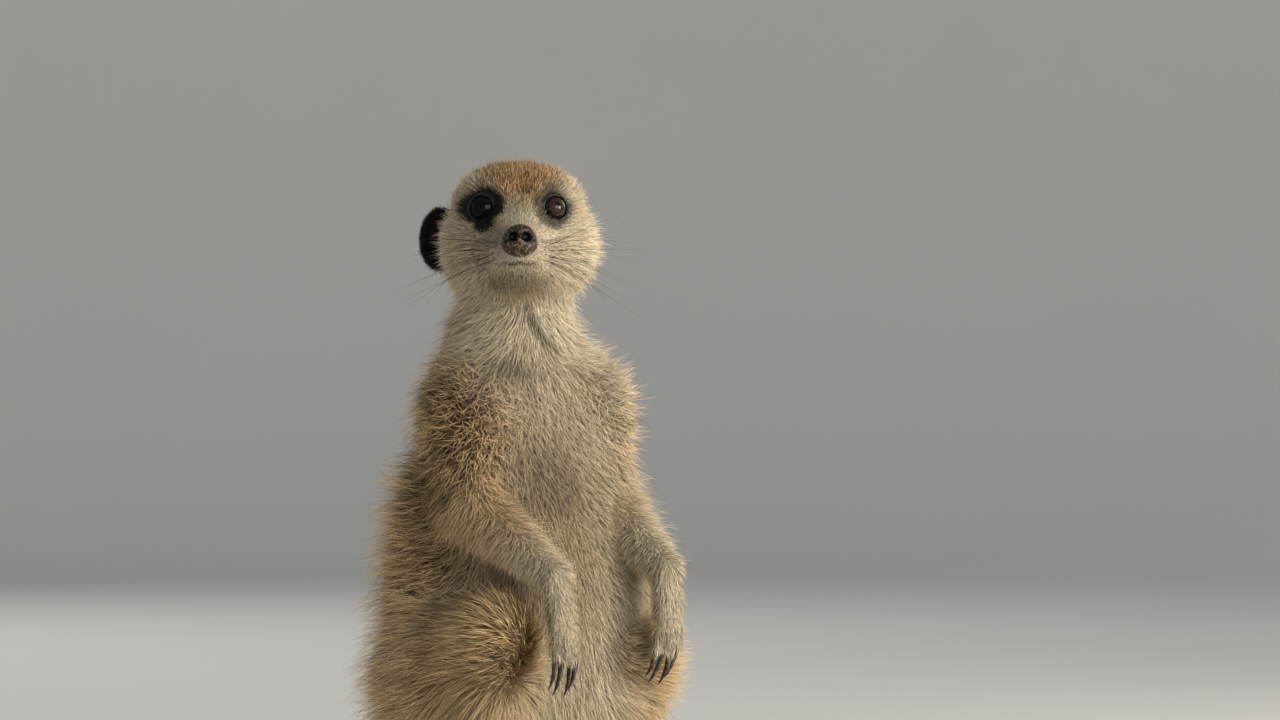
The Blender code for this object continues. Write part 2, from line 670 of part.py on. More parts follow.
for side, arm, leg in (("right", ARM_R, LEG_R), ("left", ARM_L, LEG_L)):
    out = vec(-1.0 if side == "right" else 1.0, 0, 0)
    wrist_plane = (arm.wrist - arm.down * 0.1, arm.down)
    elbow = joint(arm.wrist, arm.elbow, arm.shoulder)
    tips = arm.knuckle + arm.down * 0.8
    spread = arm.across * 0.45
    take("hand_" + side, lambda g: hull([(arm.wrist, 1.0), (arm.knuckle - spread, 0.75),
                                         (arm.knuckle + spread, 0.75), (tips - spread, 0.65),
                                         (tips + spread, 0.65)], g, [wrist_plane]))
    take("forearm_" + side, lambda g: hull([(arm.elbow, 1.85), (arm.wrist, 1.1)], g,
                                           [elbow, (wrist_plane[0], -wrist_plane[1])]))
    take("upper_arm_" + side, lambda g: hull([(arm.shoulder + out * 0.45, 2.3), (arm.elbow, 1.9)], g,
                                             [(elbow[0], -elbow[1])]))
    knee = joint(leg.hip, leg.knee, leg.ankle)
    ankle = (leg.ankle + vec(0, 0, -0.35), unit(unit(leg.knee - leg.ankle) - leg.ahead))
    toe = leg.ball + leg.ahead * 1.1
    wide = leg.across * 0.5
    take("foot_" + side, lambda g: hull([(leg.heel, 0.95), (leg.ball - wide, 0.9), (leg.ball + wide, 0.9),
                                         (toe - wide, 0.75), (toe + wide, 0.75)], g, [(ankle[0], -ankle[1])]))
    take("shank_" + side,
         lambda g: hull([(leg.knee, 2.4), (leg.ankle, 1.15)], g, [(knee[0], -knee[1]), ankle]))
    thigh = [(leg.hip + out * 0.9, 3.7), (leg.hip * 0.5 + leg.knee * 0.5, 3.6), (leg.knee, 2.6)]
    take("thigh_" + side, lambda g: hull(thigh, g, [knee, (out * 1.3, out)]))

planes = {
    "tail_tip": ((8.0, 13.5, 0.6), (1.0, 0.12, 0.0)),
    "tail_middle": ((2.9, 10.5, 0.7), (0.65, 0.76, 0.0)),
    "tail_base": ((0.45, 5.9, 1.1), (0.25, 0.9, -0.35)),
    "head": ((-0.6, -1.2, 20.25), (0.0, -0.2, 1.0)),
    "neck": ((0.0, 0.0, 18.15), (0.0, -0.08, 1.0)),
}
for name, (point, normal) in planes.items():
    normal = unit(vec(*normal))
    parts[name] = largest(cut(rest.copy(), vec(*point) + normal * HALF_GAP, normal))
    rest = largest(cut(rest, vec(*point) - normal * HALF_GAP, -normal))
parts["trunk"] = rest

for side, turn in (("right", -1.0), ("left", 1.0)):
    eye = head_point(turn * EYE_AT[0], EYE_AT[1], EYE_AT[2])
    parts["eye_" + side] = ball(eye, EYE_RADIUS)
    parts["ear_" + side] = ear(turn, 0.0)
    for cutter in (ball(eye, EYE_RADIUS + 0.03), ear(turn, 0.03)):
        parts["head"] = boolean(parts["head"], cutter, "DIFFERENCE")
nose = head_point(*NOSE_AT)
parts["nose"] = ball(nose, NOSE_RADII, HEAD_TURN, 2)
parts["head"] = boolean(parts["head"], ball(nose, vec(*NOSE_RADII) + 0.03, HEAD_TURN), "DIFFERENCE")

for side, arm, leg in (("right", ARM_R, LEG_R), ("left", ARM_L, LEG_L)):
    sets = (("hand_", claws(arm.digits, arm.down, -arm.back, CLAW_FRONT, 0.13)),
            ("foot_", claws(leg.digits, leg.ahead, vec(0, 0, -1.0), CLAW_HIND, 0.12)))
    for limb, made in sets:
        for number, (solid, socket) in enumerate(made, 1):
            parts[limb + side] = boolean(parts[limb + side], socket, "DIFFERENCE")
            parts["claw_" + limb + side + "_" + str(number)] = cut(solid, (0, 0, 0.01), (0, 0, 1))

LOOKS = (("claw", "claw_horn", 0.4), ("eye", "eye_brown", 0.1), ("ear", "ear_black", 0.9),
         ("nose", "nose_skin", 0.5), ("head", "coat_crown", 0.9), ("neck", "coat_belly", 0.9),
         ("trunk", "coat_back", 0.9), ("tail_tip", "tail_dark", 0.9), ("tail", "tail_coat", 0.9),
         ("thigh", "coat_back", 0.9), ("", "coat_limb", 0.9))
made = []
for name, bm in parts.items():
    bm = largest(bm)
    for v in bm.verts:
        v.co *= CM
    piece = as_object(name, bm)
    look, rough = next((look, rough) for start, look, rough in LOOKS if name.startswith(start))
    piece.data.materials.append(material(look, rough))
    piece.data.shade_smooth()
    piece.data.set_sharp_from_angle(angle=radians(50.0))
    made.append(piece)

corners = np.array([v.co for piece in made for v in piece.data.vertices])
middle = (corners.min(0) + corners.max(0)) * 0.5
shift = Matrix.Translation(Vector((-middle[0], -middle[1], -corners[:, 2].min())))
for piece in made:
    piece.data.transform(shift)
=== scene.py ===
"""Looks for a life-size meerkat sitting upright: skin, coat, eyes, claws, whiskers and studio.

The animal's own frame is in centimetres: it faces -Y, its own right side is -X and the floor is z = 0.
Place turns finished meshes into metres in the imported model's frame.
"""

import json
import logging
from collections.abc import Callable
from dataclasses import dataclass, field
from enum import Enum
from math import ceil, copysign, cos, pi, radians, sin

import bmesh
import bpy
import numpy as np
from mathutils import Matrix, Vector

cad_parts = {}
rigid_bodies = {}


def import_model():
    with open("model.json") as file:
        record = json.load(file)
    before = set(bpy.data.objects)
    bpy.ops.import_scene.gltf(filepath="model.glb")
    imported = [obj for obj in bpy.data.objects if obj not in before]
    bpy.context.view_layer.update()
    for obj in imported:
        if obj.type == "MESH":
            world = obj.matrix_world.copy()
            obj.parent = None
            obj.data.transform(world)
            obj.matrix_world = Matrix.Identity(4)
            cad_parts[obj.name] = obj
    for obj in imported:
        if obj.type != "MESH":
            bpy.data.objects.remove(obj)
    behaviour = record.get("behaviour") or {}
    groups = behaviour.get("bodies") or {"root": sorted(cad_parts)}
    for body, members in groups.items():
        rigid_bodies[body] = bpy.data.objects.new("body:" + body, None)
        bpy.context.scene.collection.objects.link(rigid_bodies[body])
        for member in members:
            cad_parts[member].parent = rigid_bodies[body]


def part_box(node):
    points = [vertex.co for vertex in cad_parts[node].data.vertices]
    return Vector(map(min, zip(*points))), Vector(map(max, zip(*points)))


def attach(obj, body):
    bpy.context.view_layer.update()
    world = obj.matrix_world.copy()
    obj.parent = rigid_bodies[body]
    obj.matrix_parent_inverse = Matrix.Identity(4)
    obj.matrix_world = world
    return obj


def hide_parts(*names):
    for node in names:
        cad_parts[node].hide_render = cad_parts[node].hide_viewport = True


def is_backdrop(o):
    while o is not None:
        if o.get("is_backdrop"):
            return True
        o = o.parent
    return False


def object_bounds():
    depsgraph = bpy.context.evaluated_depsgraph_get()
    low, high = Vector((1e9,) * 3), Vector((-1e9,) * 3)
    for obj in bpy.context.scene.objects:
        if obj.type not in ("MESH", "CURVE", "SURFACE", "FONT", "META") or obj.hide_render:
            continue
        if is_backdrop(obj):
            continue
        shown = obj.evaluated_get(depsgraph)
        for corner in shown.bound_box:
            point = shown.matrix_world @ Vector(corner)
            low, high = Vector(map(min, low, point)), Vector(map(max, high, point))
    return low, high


for leftover in list(bpy.data.objects):
    bpy.data.objects.remove(leftover, do_unlink=True)
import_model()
cad_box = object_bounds()

log = logging.getLogger("meerkat")
Array = np.ndarray
Pair = tuple[float, float]
Triple = tuple[float, float, float]
Table = tuple[tuple[float, ...], ...]
Point = Triple | Array
Ball = tuple[Array, Array]
TurnedBall = tuple[Array, Array, Array]
Fields = dict[str, Array]
Mesh, BMesh, Object = bpy.types.Mesh, bmesh.types.BMesh, bpy.types.Object
Material, Socket = bpy.types.Material, bpy.types.NodeSocket
DARK, RUDDY, GRIZZLE = 0, 4, 5
CENTIMETRE = 0.01


# ---------------- numbers
def vec(*values: float) -> Array:
    """A point or direction."""
    return np.array(values, float)


def unit(direction: Array) -> Array:
    """The directions at length one, along the last axis."""
    return direction / (np.linalg.norm(direction, axis=-1, keepdims=True) + 1e-12)


def lengths(rows: Array) -> Array:
    """The length of each row."""
    return np.linalg.norm(rows, axis=1)


def smooth(value: Array, low: float, high: float) -> Array:
    """Eased step from 0 at low to 1 at high."""
    t = np.clip((value - low) / (high - low), 0.0, 1.0)
    return t * t * (3.0 - 2.0 * t)


def fade(value: Array, low: float, high: float) -> Array:
    """Eased step from 1 at low to 0 at high."""
    return 1.0 - smooth(value, low, high)


def nearness(p: Array, place: Array, spread: float) -> Array:
    """How near each point is to a place, 1 at the place itself."""
    return np.exp(-((p - place) ** 2).sum(1) / spread)


def darken(marks: Fields, amount: Array) -> None:
    """Makes the dark marking, which carries painted shade as well as dark hair, at least the amount."""
    marks["dark"] = np.maximum(marks["dark"], amount)


def melt(a: Array, b: Array, reach: float) -> Array:
    """Union of two fields, rounded over the reach."""
    h = np.clip(0.5 + 0.5 * (b - a) / reach, 0.0, 1.0)
    return b + (a - b) * h - reach * h * (1.0 - h)


def carve(body: Array, tool: Array, reach: float) -> Array:
    """The body with the tool taken out, rounded over the reach."""
    return -melt(-body, tool, reach)


def rotation(yaw: float, pitch: float) -> Array:
    """Turn about Z after a nod about X, in degrees."""
    cy, sy, cp, sp = cos(radians(yaw)), sin(radians(yaw)), cos(radians(pitch)), sin(radians(pitch))
    turn = np.array([[cy, -sy, 0], [sy, cy, 0], [0, 0, 1]])
    return turn @ np.array([[1, 0, 0], [0, cp, -sp], [0, sp, cp]])


def through(rows: list[tuple[float, ...]], steps: int) -> Array:
    """Rows of numbers with smooth curves drawn through them.

    Args:
        rows: The stations, each a row of the same numbers.
        steps: How many pieces each gap is cut into.

    Returns:
        The denser rows, the given ones among them.
    """
    table = np.array(rows, float)
    table = np.vstack([2.0 * table[0] - table[1], table, 2.0 * table[-1] - table[-2]])
    out = []
    for i in range(1, len(table) - 2):
        a, b, c, d = table[i - 1:i + 3]
        for t in np.arange(steps) / steps:
            bend = (2.0 * a - 5.0 * b + 4.0 * c - d) * t * t + (3.0 * b - a - 3.0 * c + d) * t ** 3
            out.append(0.5 * (2.0 * b + (c - a) * t + bend))
    out.append(table[-2])
    return np.array(out)


# ---------------- shapes
@dataclass(frozen=True)
class Lump:
    """An ellipsoid."""

    centre: Triple
    radii: Triple

    def distance(self, p: Array) -> Array:
        """How far each point is outside the surface."""
        q = (p - vec(*self.centre)) / vec(*self.radii)
        near = lengths(q) + 1e-9
        slope = lengths(q / vec(*self.radii)) + 1e-9
        return near * (near - 1.0) / slope

    def seeds(self) -> list[Ball]:
        """The ellipsoid itself, as the start of a rough mesh."""
        return [(vec(*self.centre), vec(*self.radii))]


@dataclass(frozen=True)
class Rod:
    """A tapered rod with round ends, squashed along one direction to a share of its width."""

    start: Point
    end: Point
    start_radius: float
    end_radius: float
    flat: Point | None = None
    share: float = 1.0

    def distance(self, p: Array) -> Array:
        """How far each point is outside the surface."""
        a, b = vec(*self.start), vec(*self.end)
        if self.flat is not None:
            flat, more = unit(vec(*self.flat)), 1.0 / self.share - 1.0
            p = p + np.outer((p - a) @ flat * more, flat)
            b = b + flat * ((b - a) @ flat) * more
        line = b - a
        t = np.clip((p - a) @ line / (line @ line), 0.0, 1.0)
        reach = self.start_radius + (self.end_radius - self.start_radius) * t
        return lengths(p - a - t[:, None] * line) - reach

    def seeds(self) -> list[Ball]:
        """Balls along the rod, as the start of a rough mesh."""
        a, b = vec(*self.start), vec(*self.end)
        slim = min(self.start_radius, self.end_radius)
        count = max(2, int(ceil(np.linalg.norm(b - a) / (0.7 * slim))) + 1)
        share = self.share if self.flat is not None else 1.0
        out = []
        for t in np.linspace(0.0, 1.0, count):
            radius = (self.start_radius + (self.end_radius - self.start_radius) * t) * share
            out.append((a + (b - a) * t, np.full(3, radius)))
        return out


@dataclass
class Loft:
    """Rounded sections along one axis: station, low side, high side, half width, widest point.

    along is the axis of the stations and depth the axis of the low and high sides. A power of 2 makes
    a section an ellipse and more squares it. The ends round off over the cap, past the last sections.
    """

    sections: list[tuple[float, ...]]
    along: int
    depth: int
    power: float
    cap: float

    def __post_init__(self) -> None:
        """Smooths the run of the sections."""
        self.rows = through(self.sections, 6)

    def distance(self, p: Array) -> Array:
        """How far each point is outside the surface."""
        s = p[:, self.along]
        first, last = self.rows[0, 0], self.rows[-1, 0]
        low, high, half, middle = (np.interp(s, self.rows[:, 0], self.rows[:, k]) for k in (1, 2, 3, 4))
        past = np.maximum(np.maximum(first - s, s - last), 0.0) / self.cap
        shrink = np.sqrt(np.maximum(1.0 - past * past, 1e-4))
        away = p[:, self.depth] - middle
        side = np.where(away > 0.0, high - middle, middle - low)
        gauge = (np.abs(p[:, 0]) / half) ** self.power + (np.abs(away) / side) ** self.power
        gauge = gauge ** (1.0 / self.power) + 1e-6
        radial = np.sqrt(p[:, 0] ** 2 + away ** 2) + 1e-9
        return np.maximum(radial * (1.0 - shrink / gauge), (past - 1.0) * self.cap)

    def seeds(self) -> list[Ball]:
        """An ellipsoid for every second section, as the start of a rough mesh."""
        out = []
        for s, low, high, half, _ in self.rows[::2]:
            centre, radii = np.zeros(3), np.full(3, half)
            centre[self.along], centre[self.depth] = s, 0.5 * (low + high)
            radii[self.along] = min(half, 0.5 * (high - low)) * 0.7
            radii[self.depth] = 0.5 * (high - low)
            out.append((centre, radii))
        return out


Shape = Lump | Rod | Loft


@dataclass(frozen=True)
class Group:
    """Shapes melted together in order, each over its own reach.

    With a place and a turn the shapes are given in that frame; mirrored ones stand for both sides.
    """

    items: tuple[tuple[Shape, float], ...]
    at: Array | None = None
    turn: Array | None = None
    mirrored: bool = True

    def local(self, p: Array) -> Array:
        """The points in the group's own frame, both sides folded on to the left one."""
        if self.at is None:
            return p
        q = (p - self.at) @ self.turn
        if self.mirrored:
            q[:, 0] = np.sqrt(q[:, 0] ** 2 + 4e-4)
        return q

    def distance(self, p: Array) -> Array:
        """How far each point is outside the melted surface."""
        q, total = self.local(p), None
        for shape, reach in self.items:
            own = shape.distance(q)
            total = own if total is None else melt(total, own, reach)
        return total

    def seeds(self) -> list[TurnedBall]:
        """The balls of all its shapes, as the start of a rough mesh."""
        out = []
        for shape, _ in self.items:
            for centre, radii in shape.seeds():
                if self.at is None:
                    out.append((centre, radii, np.eye(3)))
                    continue
                for side in ((1.0, -1.0) if self.mirrored and centre[0] > 1e-6 else (1.0,)):
                    out.append((self.turn @ (centre * vec(side, 1, 1)) + self.at, radii, self.turn))
        return out


# ---------------- the animal's form (centimetres)
class Side(Enum):
    """The animal's own sides."""

    RIGHT = -1.0
    LEFT = 1.0


@dataclass(frozen=True)
class Head:
    """The head's place, sections, eyes, nose, mouth and ears, in its own frame between the eyes.

    A section is its y, its top, its underside, its half width and the height where it is widest.
    """

    at: Triple = (-1.33, -2.25, 23.15)
    yaw: float = -26.0
    pitch: float = -6.0
    eye_at: Triple = (1.20, -0.12, 0.0)
    eye_radius: float = 0.52
    eye_out: float = 24.0
    opening: float = 53.0
    lid: float = 0.075
    nose_at: Triple = (0.0, -2.62, -1.46)
    nose_radii: Triple = (0.62, 0.42, 0.60)
    nostril_at: Triple = (0.24, -3.02, -1.33)
    nostril_radii: Triple = (0.175, 0.32, 0.175)
    lip: tuple[Triple, ...] = ((0.0, -2.66, -2.22), (0.45, -2.42, -2.20), (0.85, -1.85, -2.07),
                               (1.12, -1.2, -1.86), (1.3, -0.7, -1.66))
    ear_at: Triple = (2.80, 2.45, -0.78)
    ear_radii: Triple = (0.78, 0.30, 1.10)
    ear_back: Triple = (-0.62, 0.45, -0.05)
    ear_facing: Pair = (28.0, 62.0)
    sections: Table = (
        (-2.50, -1.10, -2.28, 0.62, -1.72),
        (-2.05, -0.88, -2.60, 0.88, -1.82),
        (-1.55, -0.52, -2.76, 1.05, -1.82),
        (-1.05, -0.10, -2.84, 1.20, -1.65),
        (-0.55, 0.45, -2.88, 1.46, -1.35),
        (-0.05, 0.98, -2.90, 1.80, -1.10),
        (0.50, 1.38, -2.90, 2.10, -0.98),
        (1.20, 1.64, -2.85, 2.22, -0.92),
        (2.00, 1.64, -2.70, 2.27, -0.90),
        (2.80, 1.36, -2.50, 2.16, -0.90),
        (3.50, 0.80, -2.20, 1.82, -0.80),
        (4.00, 0.10, -1.70, 1.20, -0.80),
    )

    @property
    def turn(self) -> Array:
        """The head's own axes as columns."""
        return rotation(self.yaw, self.pitch)

    def point(self, x: float, y: float, z: float) -> Array:
        """A point of the head's own frame, brought to the body's."""
        return self.turn @ vec(x, y, z) + vec(*self.at)

    def local(self, p: Array) -> Array:
        """Body points brought to the head's own frame."""
        return (p - vec(*self.at)) @ self.turn

    def one_side(self, q: Array) -> Array:
        """Points of the head's own frame, both sides folded on to the left one."""
        return np.column_stack([np.abs(q[:, 0]), q[:, 1:]])

    def look(self, side: Side) -> Array:
        """The way one eye faces, in the body's frame."""
        out = radians(self.eye_out)
        return unit(self.turn @ vec(side.value * sin(out), -cos(out), 0.05))

    def eye(self, side: Side) -> Array:
        """The middle of one eyeball, in the body's frame."""
        x, y, z = self.eye_at
        return self.point(side.value * x, y, z)

    def follicle(self, row: int, number: int) -> Array:
        """Where one of the muzzle's whiskers grows, on the left side."""
        return vec(0.78 + 0.10 * number, -2.15 + 0.28 * number, (-1.45, -1.66, -1.88, -2.05)[row])

    def slit(self) -> Rod:
        """The slit beside the left nostril."""
        return Rod((0.32, -3.02, -1.42), (0.54, -2.84, -1.50), 0.06, 0.03)

    def mouth(self, start_radius: float, end_radius: float) -> list[Rod]:
        """The left half of the line of the mouth, each stretch with the same two radii."""
        return [Rod(a, b, start_radius, end_radius) for a, b in zip(self.lip[:-1], self.lip[1:])]

    def flesh(self) -> Group:
        """The head without its fine folds."""
        rows = [(y, under, top, half, mid) for y, top, under, half, mid in self.sections]
        return Group((
            (Loft(rows, 1, 2, 2.15, 0.35), 0.0),
            (Lump((0.0, 2.1, -0.7), (2.2, 2.15, 2.0)), 0.4),
            (Lump((1.35, 1.55, -1.50), (1.05, 1.6, 1.0)), 0.6),
            (Lump((0.94, 1.45, 0.50), (1.10, 1.55, 0.88)), 0.5),
            (Rod((1.30, -0.25, -0.80), (2.0, 1.3, -0.80), 0.28, 0.45), 0.5),
            (Rod((0.55, -0.45, 0.45), (1.45, 0.10, 0.50), 0.20, 0.26), 0.4),
            (Lump((0.42, -1.78, -1.95), (0.48, 0.72, 0.44)), 0.25),
            (Lump((0.0, -2.42, -1.50), (0.62, 0.44, 0.60)), 0.14),
        ), vec(*self.at), self.turn)

    def ear(self, side: Side) -> tuple[Group, Group]:
        """The shell of one ear and the hollow in it; the left ear is laid further back."""
        back = vec(*self.ear_back) if side is Side.LEFT else np.zeros(3)
        x, y, z = vec(*self.ear_at) + back
        facing = self.ear_facing[1] if side is Side.LEFT else self.ear_facing[0]
        centre = self.point(side.value * x, y, z)
        spin = self.turn @ rotation(side.value * facing, 0.0)
        wide, deep, tall = self.ear_radii
        shell = Group(((Lump((0.0, 0.0, 0.0), self.ear_radii), 0.0),), centre, spin, False)
        cup = Lump((side.value * 0.06, -0.26, 0.02), (wide * 0.74, deep * 0.95, tall * 0.74))
        return shell, Group(((cup, 0.0),), centre, spin, False)

    def folds(self, p: Array, flesh: Array) -> Array:
        """The distance with lids, nose pad, nostrils and mouth worked in.

        Args:
            p: Points of the body's frame, near the head.
            flesh: The distance to the flesh there.

        Returns:
            The finer distance.
        """
        q = self.local(p)
        q[:, 0] = np.sqrt(q[:, 0] ** 2 + 1e-4)
        ball = Lump(self.eye_at, (self.eye_radius + self.lid,) * 3)
        out = melt(flesh, ball.distance(q), 0.10)
        out = melt(out, Lump(self.nose_at, self.nose_radii).distance(q), 0.06)
        out = carve(out, Lump(self.nostril_at, self.nostril_radii).distance(q), 0.04)
        out = carve(out, self.slit().distance(q), 0.05)
        out = carve(out, Rod((0.0, -3.10, -1.62), (0.0, -2.80, -2.20), 0.035, 0.03).distance(q), 0.06)
        for rod in self.mouth(0.045, 0.04):
            out = carve(out, rod.distance(q), 0.07)
        return out

    def ears(self, p: Array, flesh: Array) -> Array:
        """The distance with both ears joined on."""
        for side in Side:
            shell, cup = self.ear(side)
            flesh = melt(flesh, carve(shell.distance(p), cup.distance(p), 0.08), 0.14)
        return flesh


@dataclass(frozen=True)
class Trunk:
    """The body from rump to neck: z, belly, back, half width, depth of the widest point.

    The throat's crease is drawn on a plane that crease_way lays across the body, in x and y.
    """

    sections: Table = (
        (0.60, -0.60, 3.20, 2.30, 1.30),
        (2.00, -1.70, 3.80, 3.10, 1.00),
        (4.00, -2.70, 4.10, 3.55, 0.70),
        (6.00, -3.30, 4.10, 3.70, 0.40),
        (8.00, -3.65, 3.95, 3.70, 0.20),
        (10.0, -3.65, 3.60, 3.55, 0.10),
        (12.0, -3.40, 3.30, 3.35, 0.10),
        (14.0, -2.85, 2.95, 3.05, 0.10),
        (15.8, -2.20, 2.40, 2.55, 0.10),
        (17.2, -1.80, 1.95, 2.00, 0.05),
    )

    crease: tuple[Triple, ...] = ((0.14, 0.0, 20.14), (0.34, 0.0, 19.42), (0.49, 0.0, 19.0),
                                  (0.68, 0.0, 18.75), (0.97, 0.0, 18.28))
    crease_way: Pair = (0.883, -0.469)
    ridge: tuple[Triple, Triple] = ((-1.90, -1.65, 19.75), (-0.60, -1.95, 18.75))

    def creased(self, p: Array) -> Array:
        """The distance from points to the throat's crease, seen along the plane it is drawn on."""
        along_x, along_y = self.crease_way
        laid = np.stack([along_x * p[:, 0] + along_y * p[:, 1], np.zeros(len(p)), p[:, 2]], 1)
        stretches = zip(self.crease[:-1], self.crease[1:])
        return np.min([Rod(a, b, 0.01, 0.01).distance(laid) for a, b in stretches], axis=0)

    def flesh(self, nape: Array) -> Group:
        """The trunk with the neck run up to the nape."""
        return Group((
            (Loft(list(self.sections), 2, 1, 2.15, 0.9), 0.0),
            (Lump((1.45, -1.25, 8.9), (2.40, 2.2, 3.8)), 0.9),
            (Rod((0.0, 0.0, 15.5), (-0.55, -0.35, 19.2), 2.0, 1.45), 1.2),
            (Rod((-0.55, -0.35, 19.2), nape, 1.45, 1.65), 0.9),
            (Rod((-1.1, -0.1, 18.5), (-2.2, -0.3, 16.2), 1.0, 1.1), 1.0),
            (Rod((0.35, -0.1, 18.5), (2.1, -0.3, 16.2), 1.0, 1.1), 1.0),
        ))


@dataclass(frozen=True)
class Tail:
    """The tail's path over the floor: x, y, z, radius."""

    path: Table = (
        (0.0, 2.6, 3.2, 1.35), (0.1, 4.5, 1.75, 0.85), (0.6, 6.4, 0.92, 0.62), (1.9, 9.2, 0.78, 0.50),
        (4.0, 11.6, 0.70, 0.42), (6.6, 13.1, 0.62, 0.35), (9.4, 13.6, 0.55, 0.28), (12.0, 13.2, 0.45, 0.17),
    )

    def line(self) -> Array:
        """The path, smoothed."""
        return through(list(self.path), 3)

    def flesh(self) -> Group:
        """The tail as a chain of tapered rods."""
        line = self.line()
        rods = [Rod(a[:3], b[:3], a[3], b[3]) for a, b in zip(line[:-1], line[1:])]
        return Group(tuple((rod, 0.25) for rod in rods))


def fan(root: Array, tip: Array, across: Array, spread: float, gap: float) -> list[tuple[Array, Array]]:
    """Four digits side by side.

    Args:
        root: Middle of the row of knuckles.
        tip: Middle of the row of tips.
        across: The direction the digits are set out in.
        spread: Distance between neighbouring tips.
        gap: Distance between neighbouring knuckles.

    Returns:
        The start and end of each digit.
    """
    outer_shorter = 0.10
    return [(root + across * s * gap, tip + across * s * spread - (tip - root) * outer_shorter * abs(s))
            for s in (-1.5, -0.5, 0.5, 1.5)]


@dataclass
class Arm:
    """A hanging foreleg: shoulder, elbow, wrist, middle knuckle and four digits.

    yaw is how many degrees the row of knuckles is turned about Z. Each pair of radii runs from the upper
    end of its part to the lower one, and palm_flat is the palm's thickness as a share of its width.
    """

    shoulder: Array
    elbow: Array
    wrist: Array
    knuckle: Array
    yaw: float
    upper_radii: Pair = (1.15, 0.74)
    fore_radii: Pair = (0.80, 0.42)
    palm_radii: Pair = (0.42, 0.47)
    palm_flat: float = 0.74
    digit_radii: Pair = (0.145, 0.125)
    digit_reach: float = 0.68
    digit_curl: float = 0.20
    digit_root: float = 0.25
    tip_gap: float = 0.31
    knuckle_gap: float = 0.23

    def __post_init__(self) -> None:
        """Works out the axes of the hand, its digits and the middle of the shoulder's whorl of hair."""
        self.down = unit(self.knuckle - self.wrist)
        across = vec(cos(radians(self.yaw)), sin(radians(self.yaw)), 0.0)
        self.across = unit(across - self.down * (across @ self.down))
        self.back = np.cross(self.across, self.down)
        if self.back[1] > 0.0:
            self.back = -self.back
        tip = self.knuckle + self.down * self.digit_reach - self.back * self.digit_curl
        root = self.knuckle - self.down * self.digit_root
        self.digits = fan(root, tip, self.across, self.tip_gap, self.knuckle_gap)
        self.whorl = self.shoulder + vec(copysign(0.55, self.shoulder[0]), -1.1, 0.0)

    def flesh(self) -> Group:
        """Upper arm, forearm, palm and digits."""
        digits = tuple((Rod(start, end, *self.digit_radii), 0.04) for start, end in self.digits)
        return Group((
            (Rod(self.shoulder, self.elbow, *self.upper_radii), 0.0),
            (Rod(self.elbow, self.wrist, *self.fore_radii), 0.4),
            (Rod(self.wrist, self.knuckle, *self.palm_radii, self.back, self.palm_flat), 0.3),
        ) + digits)


@dataclass
class Leg:
    """A folded hind leg: hip, knee, ankle, ball of the foot and four digits.

    Each pair of radii runs from the upper end of its part to the lower one. There are three for the thigh:
    at the hip, in the middle and at the knee.
    """

    hip: Array
    knee: Array
    ankle: Array
    ball: Array
    thigh_radii: Triple = (2.3, 2.0, 1.05)
    ham_radii: Pair = (1.8, 1.3)
    shank_radii: Pair = (0.98, 0.50)
    heel_radii: Pair = (0.55, 0.50)
    sole_radii: Pair = (0.50, 0.68)
    sole_flat: float = 0.75
    digit_radii: Pair = (0.28, 0.24)
    digit_reach: float = 1.1
    tip_gap: float = 0.46
    knuckle_gap: float = 0.36

    def __post_init__(self) -> None:
        """Works out the axes of the foot, its digits and the middle of the thigh's whorl of hair."""
        ahead = self.ball - self.ankle
        ahead[2] = 0.0
        self.ahead = unit(ahead)
        self.across = vec(-self.ahead[1], self.ahead[0], 0.0)
        if self.across[0] < 0.0:
            self.across = -self.across
        self.heel = self.ankle + vec(0, 0, -0.75) + self.ahead * 0.1
        self.whorl = self.knee + vec(-copysign(1.1, self.knee[0]), -0.1, -2.5)
        root = self.ball - self.ahead * 0.2 + vec(0, 0, -0.02)
        tip = self.ball + self.ahead * self.digit_reach + vec(0, 0, -0.22)
        self.digits = fan(root, tip, self.across, self.tip_gap, self.knuckle_gap)

    def flesh(self) -> Group:
        """Thigh, ham, shank, foot and digits."""
        middle = self.hip * 0.5 + self.knee * 0.5
        at_hip, at_middle, at_knee = self.thigh_radii
        digits = tuple((Rod(start, end, *self.digit_radii), 0.09) for start, end in self.digits)
        return Group((
            (Rod(self.hip, middle, at_hip, at_middle), 0.0),
            (Rod(middle, self.knee, at_middle, at_knee), 0.6),
            (Rod(self.hip + vec(0, 0.3, -1.3), middle + vec(0, 0, -1.2), *self.ham_radii), 0.8),
            (Rod(self.knee, self.ankle, *self.shank_radii), 0.4),
            (Rod(self.ankle, self.heel, *self.heel_radii), 0.3),
            (Rod(self.heel, self.ball, *self.sole_radii, (0, 0, 1), self.sole_flat), 0.3),
        ) + digits)


